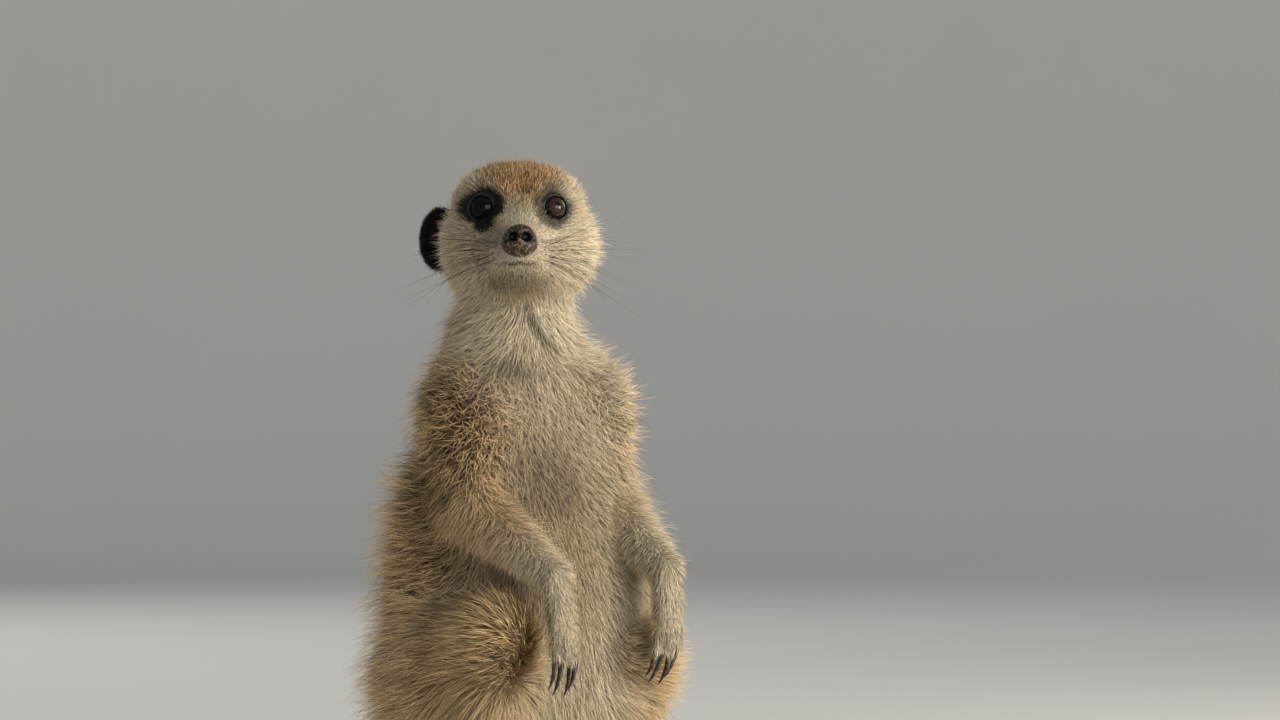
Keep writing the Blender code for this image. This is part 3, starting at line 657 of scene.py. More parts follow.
@dataclass
class Meerkat:
    """The whole animal's form, with its coat depth, lie and markings at any point."""

    head: Head = field(default_factory=Head)
    trunk: Trunk = field(default_factory=Trunk)
    tail: Tail = field(default_factory=Tail)
    arms: dict[Side, Arm] = field(default_factory=lambda: {
        Side.RIGHT: Arm(vec(-2.20, -0.4, 16.0), vec(-3.05, -1.9, 12.6), vec(-1.6, -5.65, 10.15),
                        vec(-1.5, -6.25, 7.95), 6.0),
        Side.LEFT: Arm(vec(2.20, -0.4, 16.0), vec(2.5, -1.3, 12.75), vec(3.2, -4.95, 10.3),
                       vec(3.15, -5.25, 8.15), 10.0)})
    legs: dict[Side, Leg] = field(default_factory=lambda: {
        Side.RIGHT: Leg(vec(-1.85, 0.9, 6.0), vec(-3.1, -4.0, 8.0), vec(-3.1, -1.6, 1.45),
                        vec(-3.15, -5.4, 0.58)),
        Side.LEFT: Leg(vec(1.85, 0.9, 5.9), vec(2.9, -2.8, 7.3), vec(3.6, 0.2, 1.45),
                       vec(3.9, -3.9, 0.58))})

    def __post_init__(self) -> None:
        """Builds every part's form and the coat's table once."""
        self.trunk_flesh = self.trunk.flesh(self.head.point(0.0, 1.9, -1.2))
        self.head_flesh, self.tail_flesh = self.head.flesh(), self.tail.flesh()
        self.arm_flesh = {side: arm.flesh() for side, arm in self.arms.items()}
        self.leg_flesh = {side: leg.flesh() for side, leg in self.legs.items()}
        self.coat = self.coat_table()

    def seeds(self) -> list[TurnedBall]:
        """The balls of every part, ears among them."""
        ears = [self.head.ear(side)[0] for side in Side]
        parts = [self.trunk_flesh, self.head_flesh, self.tail_flesh, *ears]
        parts += [*self.arm_flesh.values(), *self.leg_flesh.values()]
        return [ball for part in parts for ball in part.seeds()]

    def distance(self, p: Array) -> Array:
        """How far each point is outside the skin, without the fine folds of the face."""
        out = melt(self.trunk_flesh.distance(p), self.head.ears(p, self.head_flesh.distance(p)), 0.8)
        out = melt(out, self.tail_flesh.distance(p), 0.7)
        for side, arm in self.arms.items():
            near = lengths(p - arm.shoulder)
            out = melt(out, self.arm_flesh[side].distance(p), 0.12 + 0.9 * fade(near, 1.5, 3.8))
        for side, leg in self.legs.items():
            near = lengths(p - leg.hip)
            out = melt(out, self.leg_flesh[side].distance(p), 0.15 + 0.9 * fade(near, 2.0, 5.0))
        return out

    def folded(self, p: Array) -> Array:
        """The distance with the fine folds of the face."""
        return self.head.folds(p, self.distance(p))

    def coat_table(self) -> list[tuple[float, ...]]:
        """Coat depth at places on the animal: x, y, z, depth, reach of that value.

        Places off the middle stand for both sides, and the last of the head's is the fuller left cheek.
        """
        head = [
            (0, -2.9, -1.5, 0.0, 0.6), (0.45, -1.8, -1.7, 0.07, 0.7), (0, -1.2, -0.6, 0.10, 0.7),
            (1.35, -0.3, 0.0, 0.02, 0.6), (0.35, -2.5, -2.3, 0.02, 0.45), (0.95, -1.7, -2.35, 0.04, 0.4),
            (0, 0.3, 1.1, 0.24, 1.0), (0, 2.2, 1.5, 0.34, 1.2),
            (2.0, 1.0, 0.5, 0.24, 1.0), (2.3, 1.0, -1.1, 0.30, 1.0), (2.3, 2.4, -1.8, 0.40, 1.2),
            (0, -1.6, -2.8, 0.12, 0.7), (0, 0.5, -3.2, 0.32, 1.1), (0, 4.3, -0.6, 0.5, 1.4)]
        body = [
            (0, -1.9, 19, 0.45, 1.4), (1.9, 0, 19, 0.65, 1.2), (0, 1.7, 19, 0.85, 1.4),
            (0, -2.6, 15.5, 0.45, 1.6), (3.7, -0.4, 16, 0.66, 1.4), (0, 2.6, 15.5, 1.15, 2.0),
            (3.3, 1.4, 11.5, 1.35, 2.0), (0, 3.5, 10, 1.4, 2.4), (0, -3.7, 8.5, 0.24, 2.4),
            (2.8, -2.4, 9.5, 0.50, 1.6), (0, -2.6, 4.0, 0.32, 2.0), (0, 4.0, 4.0, 1.3, 2.2),
            (0, 1.5, 0.4, 0.5, 1.8), (4.2, 0.4, 6.5, 1.15, 2.2)]
        rows = [(*self.head.point(side * x, y, z), depth, reach)
                for x, y, z, depth, reach in head for side in ((1, -1) if x else (1,))]
        rows.append((*self.head.point(2.3, 1.0, -1.1), 0.55, 0.8))
        rows += [(side * x, *rest) for x, *rest in body for side in ((1, -1) if x else (1,))]
        for arm in self.arms.values():
            rows += [(*(arm.shoulder * 0.4 + arm.elbow * 0.6), 0.66, 1.3), (*arm.elbow, 0.65, 1.2)]
            rows += [(*(arm.elbow * (1 - t) + arm.wrist * t), depth, 1.0)
                     for t, depth in ((0.35, 0.5), (0.7, 0.42), (1.0, 0.24))]
            rows += [(*arm.knuckle, 0.11, 0.9), (*(arm.knuckle + arm.down), 0.10, 0.6)]
        for leg in self.legs.values():
            rows += [(*place, depth, reach) for place, depth, reach in (
                (leg.hip * 0.5 + leg.knee * 0.5, 1.15, 1.8), (leg.knee, 0.75, 1.3),
                (leg.knee * 0.4 + leg.ankle * 0.6, 0.4, 1.3), (leg.ankle, 0.25, 1.0),
                (leg.heel * 0.5 + leg.ball * 0.5, 0.15, 1.2), (leg.ball, 0.12, 1.4),
                (leg.ball + leg.ahead * 1.2, 0.05, 0.7))]
        return rows + [(0.1, 4.3, 1.8, 0.6, 1.2), (1.9, 9.2, 0.78, 0.33, 2.5),
                       (6.6, 13.1, 0.62, 0.30, 2.5), (12.0, 13.2, 0.45, 0.32, 1.5)]

    def coat_depth(self, p: Array) -> Array:
        """How far the coat stands off the skin, eased between the places in the table."""
        total, value = np.full(len(p), 1e-12), np.full(len(p), 0.4e-12)
        for x, y, z, depth, reach in self.coat:
            off = ((p - vec(x, y, z)) ** 2).sum(1)
            weight = np.exp(-off / reach ** 2) + 1e-7 / (1.0 + off) ** 3
            total += weight
            value += weight * depth
        return value / total

    def shares(self, p: Array) -> Fields:
        """How much each part of the animal owns each point, summing to one."""
        own = {"trunk": self.trunk_flesh.distance(p), "head": self.head_flesh.distance(p),
               "tail": self.tail_flesh.distance(p)}
        own["ear"] = np.minimum(*(self.head.ear(side)[0].distance(p) for side in Side)) - 0.08
        for side in Side:
            own["arm_" + side.name] = self.arm_flesh[side].distance(p)
            own["leg_" + side.name] = self.leg_flesh[side].distance(p)
        least = np.min(list(own.values()), axis=0)
        weight = {name: np.exp(-(value - least) / (0.10 if name == "ear" else 0.35))
                  for name, value in own.items()}
        total = sum(weight.values())
        return {name: value / total for name, value in weight.items()}

    def lie(self, p: Array, shares: Fields) -> Array:
        """The way the coat lies at each point, before it is laid along the skin.

        Args:
            p: Points on the skin.
            shares: The parts' shares of them.

        Returns:
            One direction for each point.
        """
        nose = self.head.point(0.0, -3.3, -1.35)
        back = smooth(self.head.local(p)[:, 1], 1.5, 4.0)
        flow = shares["head"][:, None] * (unit(p - nose) + np.outer(back, vec(0, 0.3, -1.2)))
        flow += shares["ear"][:, None] * (self.head.turn @ vec(0, 0.4, 1.0))
        outward = np.clip(p[:, 0] / 2.5, -1.0, 1.0)
        rear = smooth(p[:, 1], -2.6, -0.4)
        flank = rear * fade(p[:, 1], 0.8, 2.6) * fade(p[:, 2], 14.0, 17.0)
        neck = smooth(p[:, 2], 17.2, 18.6) * np.clip((p[:, 0] + 0.5) / 1.2, -1.0, 1.0)
        trunk = np.stack([outward * (0.18 + 0.30 * rear) + 0.7 * neck, 0.55 * rear + 0.7 * flank,
                          -1.0 + 0.15 * rear + 0.55 * flank], 1)
        flow += shares["trunk"][:, None] * trunk
        line = self.tail.line()
        near = np.argmin(((p[:, None, :] - line[None, :, :3]) ** 2).sum(2), axis=1)
        ahead = unit(np.gradient(line[:, :3], axis=0))
        flow += shares["tail"][:, None] * ahead[near]
        for side, arm in self.arms.items():
            upper, lower = unit(arm.elbow - arm.shoulder), unit(arm.wrist - arm.elbow)
            near = 0.55 * nearness(p, arm.whorl, 5.0)[:, None]
            past = smooth((p - arm.elbow) @ unit(upper + lower), -0.6, 0.8)[:, None]
            hand = smooth((p - arm.wrist) @ unit(lower + arm.down), -0.4, 0.5)[:, None]
            out = unit(p - arm.whorl)
            top = (upper + vec(0, 0.25, 0)) * (1 - near) + (out + vec(0, 0.3, -0.25)) * near
            fore = lower * 0.45 + vec(0, 0.70, -0.45)
            way = top * (1 - past) + fore * past * (1 - hand) + arm.down * hand
            flow += shares["arm_" + side.name][:, None] * way
            flow += shares["trunk"][:, None] * near * (out * 1.2)
        for side, leg in self.legs.items():
            shank = unit(leg.ankle - leg.knee)
            below = smooth((p - leg.knee) @ shank, 0.6, 2.2) * smooth(-self.thigh_side(p, leg), -0.3, 0.3)
            foot = smooth((p - leg.ankle) @ unit(shank + leg.ahead * 0.4), -0.5, 0.4)[:, None]
            near = nearness(p, leg.whorl, 6.0)[:, None]
            over = unit(p - leg.whorl) * (0.25 + near) + (1.0 - near) * vec(side.value * 0.75, 0.60, -0.30)
            way = unit(over) * (1 - below)[:, None] + shank * below[:, None]
            way = way * (1 - foot) + leg.ahead * foot
            flow += shares["leg_" + side.name][:, None] * way
        wander = np.sin(p[:, [1, 2, 0]] * 2.1 + 1.3) + 0.8 * np.sin(p[:, [2, 0, 1]] * 4.3 + 0.6)
        return flow + 0.26 * wander * smooth(self.coat_depth(p), 0.2, 1.1)[:, None]

    def tangle(self, p: Array, shares: Fields) -> Array:
        """How tousled the coat is at each point, most at the whorls of the shoulders."""
        out = np.zeros(len(p))
        for side, arm in self.arms.items():
            share = shares["arm_" + side.name]
            swirl = nearness(p, arm.whorl, 2.6) * (share + 0.6 * shares["trunk"])
            out += swirl + 0.22 * share * smooth(p[:, 2], arm.elbow[2] - 0.5, arm.elbow[2] + 1.0)
        return np.clip(out, 0.0, 1.0)

    def thigh_side(self, p: Array, leg: Leg) -> Array:
        """How much nearer each point is to the thigh than to the shank."""
        thigh = Rod(tuple(leg.hip), tuple(leg.knee), 2.1, 1.2).distance(p)
        shank = Rod(tuple(leg.knee), tuple(leg.ankle), 0.9, 0.5).distance(p)
        return shank - thigh

    def markings(self, p: Array, shares: Fields) -> Array:
        """The coat's markings, painted shade among them in the dark one.

        Args:
            p: Points on the skin.
            shares: The parts' shares of them.

        Returns:
            For each point: dark, gold, pale, grey, ruddy and grizzle, each from 0 to 1, in that order.
        """
        out = {name: np.zeros(len(p)) for name in ("dark", "gold", "pale", "grey", "ruddy", "grizzle")}
        self.mark_head(p, shares["head"] + shares["ear"], out)
        darken(out, smooth(shares["ear"], 0.35, 0.65))
        self.mark_trunk(p, shares["trunk"], out)
        for side in Side:
            self.mark_arm(p, shares["arm_" + side.name], self.arms[side], side, out)
            self.mark_leg(p, shares["leg_" + side.name], self.legs[side], out)
            # Painted shade: trunk and thigh darkened close below each forearm, where the arm shades them,
            # more on the right.
            gap = np.maximum(self.arm_flesh[side].distance(p), 0.0)
            close = np.exp(-gap / 0.45) * fade(p[:, 2], 12.6, 14.2)
            close *= 0.50 if side is Side.RIGHT else 0.22
            close *= fade(shares["arm_" + side.name], 0.1, 0.5)
            close *= 1.0 - 0.6 * shares["leg_" + side.name]
            darken(out, close)
        tail = shares["tail"]
        out["gold"] += tail * 0.55
        out["pale"] += tail * 0.22
        out["grizzle"] += tail * 0.5
        darken(out, tail * smooth(p[:, 0], 8.2, 10.0))
        return np.clip(np.stack(list(out.values()), 1), 0.0, 1.0)

    def mark_head(self, p: Array, share: Array, out: Fields) -> None:
        """Adds the head's markings: pale face, dark eye patches, ruddy crown, grey bridge and painted shade.

        Args:
            p: Points on the skin.
            share: The head's share of them.
            out: The markings so far.
        """
        q = self.head.local(p)
        left = q[:, 0] > 0.0
        x, y, z = np.abs(q[:, 0]), q[:, 1], q[:, 2]
        front = fade(y, 0.6, 1.3)
        ring = np.hypot((x - 1.20) / 0.79, (z - 0.0) / 0.70)
        tear = np.hypot((x - 1.16) / 0.42, (z + 0.62) / 0.36)
        patch = np.maximum(fade(ring, 0.90, 1.05), fade(tear, 0.8, 1.15)) * front
        rim = fade(np.hypot((x - 1.30) / 0.60, z / 0.60), 0.75, 1.0)
        pool = fade(np.hypot((x - 1.14) / 0.70, (z + 0.08) / 0.82), 0.78, 1.08)
        patch = np.where(left, np.maximum(pool * 0.82, rim) * front, patch)
        width = (0.46 + 0.70 * smooth(z, 0.0, 1.2)) * (1.0 + 0.24 * left)
        crown = fade(x / width, 0.45, 1.40) * smooth(z, -0.45, 0.55)
        crown *= 1.0 - 0.7 * smooth(y, 2.4, 4.0)
        crown *= 0.72 + 0.28 * np.sin(x * 4.2 + 1.2) * np.sin(y * 2.6 + z * 3.1)
        top = smooth(z, 0.45, 1.15) * smooth(y, -0.9, 0.2)
        rear = np.maximum(smooth(y, 1.4, 3.2) * smooth(z, -2.2, -0.6), top)
        brow = fade(np.hypot((x - 1.70) / 0.62, (z - 1.0) / 0.34), 0.7, 1.2)
        bridge = fade(x, 0.35, 0.75) * smooth(z, -1.3, -0.7) * fade(z, -0.25, 0.1)
        temple = fade(np.hypot((x - 2.15) / 0.45, (z - 0.15) / 0.7), 0.5, 1.1)
        pale = np.maximum(1.0 - 0.72 * rear, brow) * (1.0 - 0.35 * temple)
        # Painted shade: the upper left side of the head, which the key light falls on, made less pale.
        pale *= 1.0 - 0.30 * left * smooth(z, 0.3, 1.0)
        # The chin's own grey-brown, darkened further as painted shade under the jaw.
        chin = fade(z, -2.70, -2.26) * fade(y, -1.2, 0.6)
        # Painted shade beside the nose, on the right side of the face only.
        beside = fade(np.hypot((x - 0.80) / 0.42, (z + 1.15) / 0.50), 0.5, 1.2) * front * ~left
        one_side, dots = self.head.one_side(q), np.zeros(len(p))
        for row in range(4):
            for k in range(4):
                off = lengths(one_side - self.head.follicle(row, k))
                dots = np.maximum(dots, 0.75 * fade(off, 0.03, 0.09))
        # The mouth's line: dark lips, with painted shade in the crease.
        lip = np.min([rod.distance(one_side) for rod in self.head.mouth(0.02, 0.02)], axis=0)
        lip = 0.76 * fade(lip, 0.02, 0.13) * fade(x, 0.75, 1.3)
        dark = np.maximum.reduce([patch, dots, 0.34 * chin, lip, 0.35 * beside])
        darken(out, share * dark)
        pale = np.clip(pale * (1.0 - crown) * (1.0 - 0.42 * chin), 0.0, 1.0)
        out["pale"] += share * pale * (0.86 + 0.14 * bridge)
        out["ruddy"] += share * crown
        out["gold"] += share * (0.35 * rear + 0.45 * temple)
        out["grey"] += share * (0.15 * (1.0 - bridge) + 0.32 * chin)
        out["grizzle"] += share * (0.30 + 0.40 * rear * (1.0 - crown) + 0.18 * crown)

    def mark_trunk(self, p: Array, share: Array, out: Fields) -> None:
        """Adds the trunk's markings: grey belly, pale chest and throat, brown back with dark bands, painted
        shade in the throat's crease and painted light on the belly.

        Args:
            p: Points on the skin.
            share: The trunk's share of them.
            out: The markings so far.
        """
        x, y, z = p.T
        edge = np.interp(z, (4.0, 8.0, 13.0, 16.0, 18.0, 20.0), (-1.2, -1.6, -1.9, -1.4, -0.2, 0.8))
        back = smooth(y - edge, -0.9, 0.9)
        chest = smooth(z, 12.5, 17.0)
        band = 0.5 + 0.5 * np.sin(z * (2.0 * pi / 1.55) + 0.5 * np.sin(x * 1.3))
        band = smooth(band, 0.45, 0.9) * smooth(y, 0.2, 1.8)
        band *= smooth(z, 3.0, 5.0) * fade(z, 14.0, 17.0)
        spots = np.zeros(len(p))
        for centre, strength in (((-1.35, -1.85, 17.65), 1.0), ((2.2, -1.95, 17.05), 0.6)):
            off = lengths((p - vec(*centre)) / vec(0.65, 1.2, 0.58))
            spots = np.maximum(spots, strength * fade(off, 0.4, 1.3))
        shade = lengths((p - vec(-0.45, -3.0, 13.7)) / vec(1.1, 1.6, 1.7))
        spots = np.maximum(spots, 0.75 * fade(shade, 0.5, 1.2))
        # Painted shade in the crease of the throat, laid into the dark marking.
        crease = fade(self.trunk.creased(p), 0.03, 0.13) * smooth(-y, 0.4, 0.9)
        ridge = fade(Rod(*self.trunk.ridge, 0.1, 0.1).distance(p), 0.05, 0.35)
        spots = np.maximum(spots, 2.2 * crease)
        darken(out, share * np.maximum(0.70 * band * back, 0.38 * spots))
        out["gold"] += share * (0.34 * back + 0.10)
        # Pale front: its own colour, raised on the lower belly as painted light.
        out["pale"] += share * (1.0 - back) * (0.24 + 0.50 * chest + 0.46 * fade(z, 6.5, 11.0))
        # Painted light: the left side of the front made paler, on the side the key light falls on.
        out["pale"] += share * (1.0 - back) * 0.30 * smooth(x, 0.2, 1.8) * fade(z, 16.5, 18.0)
        throat = 0.40 * smooth(z, 17.6, 19.5) * (1.0 - 0.5 * back) * (1.0 - 0.7 * smooth(x, -0.4, 0.8))
        out["pale"] += share * (throat + 0.35 * ridge)
        out["grey"] += share * (1.0 - back) * (0.85 - 0.45 * chest)
        out["grizzle"] += share * (0.18 + 0.80 * back)

    def mark_arm(self, p: Array, share: Array, arm: Arm, side: Side, out: Fields) -> None:
        """Adds one arm's markings: brown shoulder, golden forearm and pale hand, with painted shade between
        the digits.

        Args:
            p: Points on the skin.
            share: The arm's share of them.
            arm: The arm.
            side: Its side; the left one shows its paler inner face, made paler still as painted light.
            out: The markings so far.
        """
        lower = unit(arm.wrist - arm.elbow)
        reach = (p - arm.elbow) @ lower / np.linalg.norm(arm.wrist - arm.elbow)
        # The left arm paler and without the dark whorl: partly its own colour, partly painted light on the
        # side the key light falls on.
        inner = 1.0 if side is Side.LEFT else 0.0
        shoulder = smooth(p[:, 2], arm.elbow[2] - 0.3, arm.elbow[2] + 2.6)
        brown = shoulder * (1.0 - 0.85 * inner * smooth(-p[:, 1], -0.4, 0.8))
        swirl = nearness(p, arm.whorl, 2.4) * (1.0 - inner)
        below = (p - arm.knuckle) @ arm.down
        # Painted shade in the gaps between the digits.
        digit_width = 0.27
        between = 0.5 + 0.5 * np.cos((p - arm.knuckle) @ arm.across * 2.0 * pi / digit_width)
        between = smooth(between, 0.5, 1.0) * smooth(below, -0.25, 0.15)
        darken(out, share * np.maximum(0.5 * between, 0.26 * swirl))
        out["gold"] += share * (1.0 - 0.50 * brown)
        out["ruddy"] += share * 0.60 * swirl
        pale = np.clip(0.34 + 0.32 * inner + 0.66 * smooth(reach, 0.20, 1.00), 0.0, 0.98)
        out["pale"] += share * pale * (1.0 - 0.85 * brown)
        out["grizzle"] += share * (0.12 + 0.80 * brown)

    def mark_leg(self, p: Array, share: Array, leg: Leg, out: Fields) -> None:
        """Adds one leg's markings: golden brown thigh with a paler whorl, paler shank and foot.

        Args:
            p: Points on the skin.
            share: The leg's share of them.
            leg: The leg.
            out: The markings so far.
        """
        shank = smooth(-self.thigh_side(p, leg), -0.2, 0.5) * fade(p[:, 2], 3.0, 6.0)
        foot = fade(p[:, 2], 1.2, 2.4)
        inner = smooth((leg.knee[0] - p[:, 0]) * np.sign(leg.knee[0]), -0.3, 1.0)
        inner = inner * smooth(-p[:, 1], -1.0, 1.0) * smooth(8.0 - p[:, 2], 0.0, 2.0)
        fore = smooth(-p[:, 1], 1.2, 3.4) * (1.0 - foot)
        whorl = nearness(p, leg.whorl, 2.6)
        out["gold"] += share * (0.72 + 0.20 * shank + 0.28 * fore + 0.30 * whorl)
        pale = np.maximum.reduce([0.35 * shank, 0.72 * foot, 0.45 * inner, 0.16 + 0.34 * whorl])
        out["pale"] += share * pale
        out["grizzle"] += share * (0.95 - 0.45 * shank - 0.3 * foot - 0.50 * fore - 0.45 * whorl)


# ---------------- place and meshes
@dataclass(frozen=True)
class Place:
    """Where the animal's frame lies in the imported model's frame."""

    shift: Triple

    @classmethod
    def found(cls, head: Head) -> "Place":
        """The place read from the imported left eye."""
        low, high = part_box("eye_left")
        middle = (np.array(low) + np.array(high)) * 0.5
        return cls(tuple(middle - head.eye(Side.LEFT) * CENTIMETRE))

    def metres(self, p: Array) -> Array:
        """Points of the animal's frame in metres of the model's."""
        return p * CENTIMETRE + vec(*self.shift)


def linked(name: str, mesh: Mesh) -> Object:
    """A new object holding the mesh, in the scene."""
    made = bpy.data.objects.new(name, mesh)
    bpy.context.scene.collection.objects.link(made)
    return made


def from_triangles(name: str, points: Array, triangles: Array) -> Mesh:
    """A mesh of joined small pieces.

    Args:
        name: The mesh's name.
        points: Vertex places in metres.
        triangles: Three vertex numbers a row.

    Returns:
        The mesh, smooth shaded.
    """
    mesh = bpy.data.meshes.new(name)
    mesh.vertices.add(len(points))
    mesh.vertices.foreach_set("co", points.astype(np.float32).ravel())
    mesh.loops.add(triangles.size)
    mesh.loops.foreach_set("vertex_index", triangles.astype(np.int32).ravel())
    mesh.polygons.add(len(triangles))
    mesh.polygons.foreach_set("loop_start", np.arange(0, triangles.size, 3, dtype=np.int32))
    mesh.update(calc_edges=True)
    mesh.shade_smooth()
    return mesh


def finished(bm: BMesh, name: str) -> Mesh:
    """The smooth mesh of a bmesh, which is freed."""
    mesh = bpy.data.meshes.new(name)
    bm.to_mesh(mesh)
    bm.free()
    mesh.shade_smooth()
    return mesh


def read(items: bpy.types.bpy_prop_collection, name: str, width: int, kind: type = np.float32) -> Array:
    """One property of every vertex, edge, triangle or corner of a mesh, in rows of a width."""
    out = np.empty(len(items) * width, kind)
    items.foreach_get(name, out)
    return out.reshape(-1, width)


def paint(mesh: Mesh, name: str, values: Array) -> None:
    """Keeps four numbers for each vertex under a name."""
    layer = mesh.attributes.new(name, "FLOAT_COLOR", "POINT")
    layer.data.foreach_set("color", values.astype(np.float32).ravel())


def coordinates(bm: BMesh) -> Array:
    """The vertex places of a bmesh."""
    return np.array([v.co for v in bm.verts], float)


def put(bm: BMesh, p: Array) -> None:
    """Moves the vertices of a bmesh to the places."""
    for v, place in zip(bm.verts, p):
        v.co = place


# ---------------- shader maths
def sign(operation: str, swapped: bool = False) -> Callable:
    """The method of an arithmetic sign, which adds one Math node.

    Args:
        operation: The node's operation.
        swapped: Whether the value is on the right of the sign.

    Returns:
        The method.
    """
    def method(self: "Value", other: "Value | float") -> "Value":
        """The sign's result."""
        values = dict(enumerate((other, self) if swapped else (self, other)))
        node = self.nodes.add("ShaderNodeMath", {"operation": operation}, values)
        return Value(self.nodes, node.outputs[0])

    return method


class Value:
    """A number socket that takes part in arithmetic."""

    def __init__(self, nodes: "Finish", socket: Socket) -> None:
        """Wraps the socket of the finish's node tree."""
        self.nodes, self.socket = nodes, socket

    __add__, __radd__ = sign("ADD"), sign("ADD", True)
    __sub__, __rsub__ = sign("SUBTRACT"), sign("SUBTRACT", True)
    __mul__, __rmul__ = sign("MULTIPLY"), sign("MULTIPLY", True)

    def eased(self, low: float, high: float) -> "Value":
        """Eased step from 0 at low to 1 at high."""
        node = self.nodes.add("ShaderNodeMapRange", {"interpolation_type": "SMOOTHSTEP"},
                              {"Value": self, "From Min": low, "From Max": high})
        return Value(self.nodes, node.outputs[0])


class Finish:
    """A material being made: one Principled shader with nodes added to it."""

    def __init__(self, name: str, rough: float, specular: float = 0.5, coat: float = 0.0) -> None:
        """Makes the material.

        Args:
            name: The material's name.
            rough: Roughness.
            specular: Specular level.
            coat: Weight of the clear coat.
        """
        self.material = bpy.data.materials.new(name)
        self.material.use_nodes = True
        self.tree = self.material.node_tree
        self.shader = self.tree.nodes["Principled BSDF"]
        self.levels({"Roughness": rough, "Specular IOR Level": specular, "Coat Weight": coat,
                     "Coat Roughness": 0.03})

    def levels(self, values: dict[str, float]) -> None:
        """Sets plain numbers of the shader."""
        for name, value in values.items():
            self.shader.inputs[name].default_value = value

    def add(self, kind: str, settings: dict | None = None, values: dict | None = None) -> bpy.types.Node:
        """One node.

        Args:
            kind: The node's type.
            settings: Its own settings, set first.
            values: Values or links of its input sockets, by name or number.

        Returns:
            The node.
        """
        node = self.tree.nodes.new(kind)
        for name, setting in (settings or {}).items():
            setattr(node, name, setting)
        for name, value in (values or {}).items():
            self.feed(node.inputs[name], value)
        return node

    def feed(self, socket: Socket,
             value: "Value | Socket | float | Triple") -> None:
        """Sets or links one input socket."""
        if isinstance(value, Value):
            value = value.socket
        if isinstance(value, Socket):
            self.tree.links.new(value, socket)
        elif isinstance(value, tuple) and len(value) == 3 and socket.type == "RGBA":
            socket.default_value = (*value, 1.0)
        else:
            socket.default_value = value

    def mix(self, share: "Value | float", a: "Socket | Triple",
            b: "Socket | Triple") -> Socket:
        """Colour a turned into b by a share."""
        node = self.add("ShaderNodeMix", {"data_type": "RGBA"}, {0: share, 6: a, 7: b})
        return node.outputs[2]

    def shade(self, colour: Socket, amount: "Value") -> Socket:
        """The colour made lighter or darker by a number."""
        node = self.add("ShaderNodeVectorMath", {"operation": "SCALE"}, {0: colour, "Scale": amount})
        return node.outputs[0]

    def four(self, name: str) -> tuple[Value, Value, Value, Value]:
        """The four numbers kept on the mesh under a name."""
        node = self.add("ShaderNodeAttribute", {"attribute_name": name})
        split = self.add("ShaderNodeSeparateColor", None, {0: node.outputs["Color"]})
        return (*(Value(self, split.outputs[k]) for k in range(3)), Value(self, node.outputs["Alpha"]))

    def place(self) -> Socket:
        """Object coordinates."""
        return self.add("ShaderNodeTexCoord").outputs["Object"]

    def noise(self, scale: float, detail: float = 2.0, rough: float = 0.5) -> Value:
        """Soft noise of about 0 to 1, its scale per metre."""
        node = self.add("ShaderNodeTexNoise", None,
                        {"Vector": self.place(), "Scale": scale, "Detail": detail, "Roughness": rough})
        return Value(self, node.outputs[0])

    def cells(self, scale: float) -> Value:
        """Distance to the nearest cell middle, its scale per metre."""
        node = self.add("ShaderNodeTexVoronoi", None, {"Vector": self.place(), "Scale": scale})
        return Value(self, node.outputs[0])

    def bump(self, height: Value, strength: float, reach: float) -> None:
        """Raises the surface by the height."""
        node = self.add("ShaderNodeBump", None, {"Strength": strength, "Distance": reach, "Height": height})
        self.tree.links.new(node.outputs[0], self.shader.inputs["Normal"])

    def colour(self, socket: "Socket | Triple") -> None:
        """Feeds the base colour."""
        self.feed(self.shader.inputs["Base Color"], socket)

    def rough(self, value: Value) -> None:
        """Feeds the roughness."""
        self.feed(self.shader.inputs["Roughness"], value)


@dataclass(frozen=True)
class Palette:
    """The coat's and skin's colours, linear."""

    brown: Triple = (0.185, 0.098, 0.034)
    gold: Triple = (0.640, 0.410, 0.170)
    ruddy: Triple = (0.450, 0.215, 0.068)
    pale: Triple = (0.800, 0.690, 0.500)
    grey: Triple = (0.440, 0.330, 0.192)
    black: Triple = (0.005, 0.004, 0.003)
    straw: Triple = (0.820, 0.620, 0.360)
    umber: Triple = (0.060, 0.034, 0.015)
    hide: Triple = (0.030, 0.021, 0.016)
    nose: Triple = (0.042, 0.024, 0.014)
    nose_light: Triple = (0.400, 0.265, 0.130)


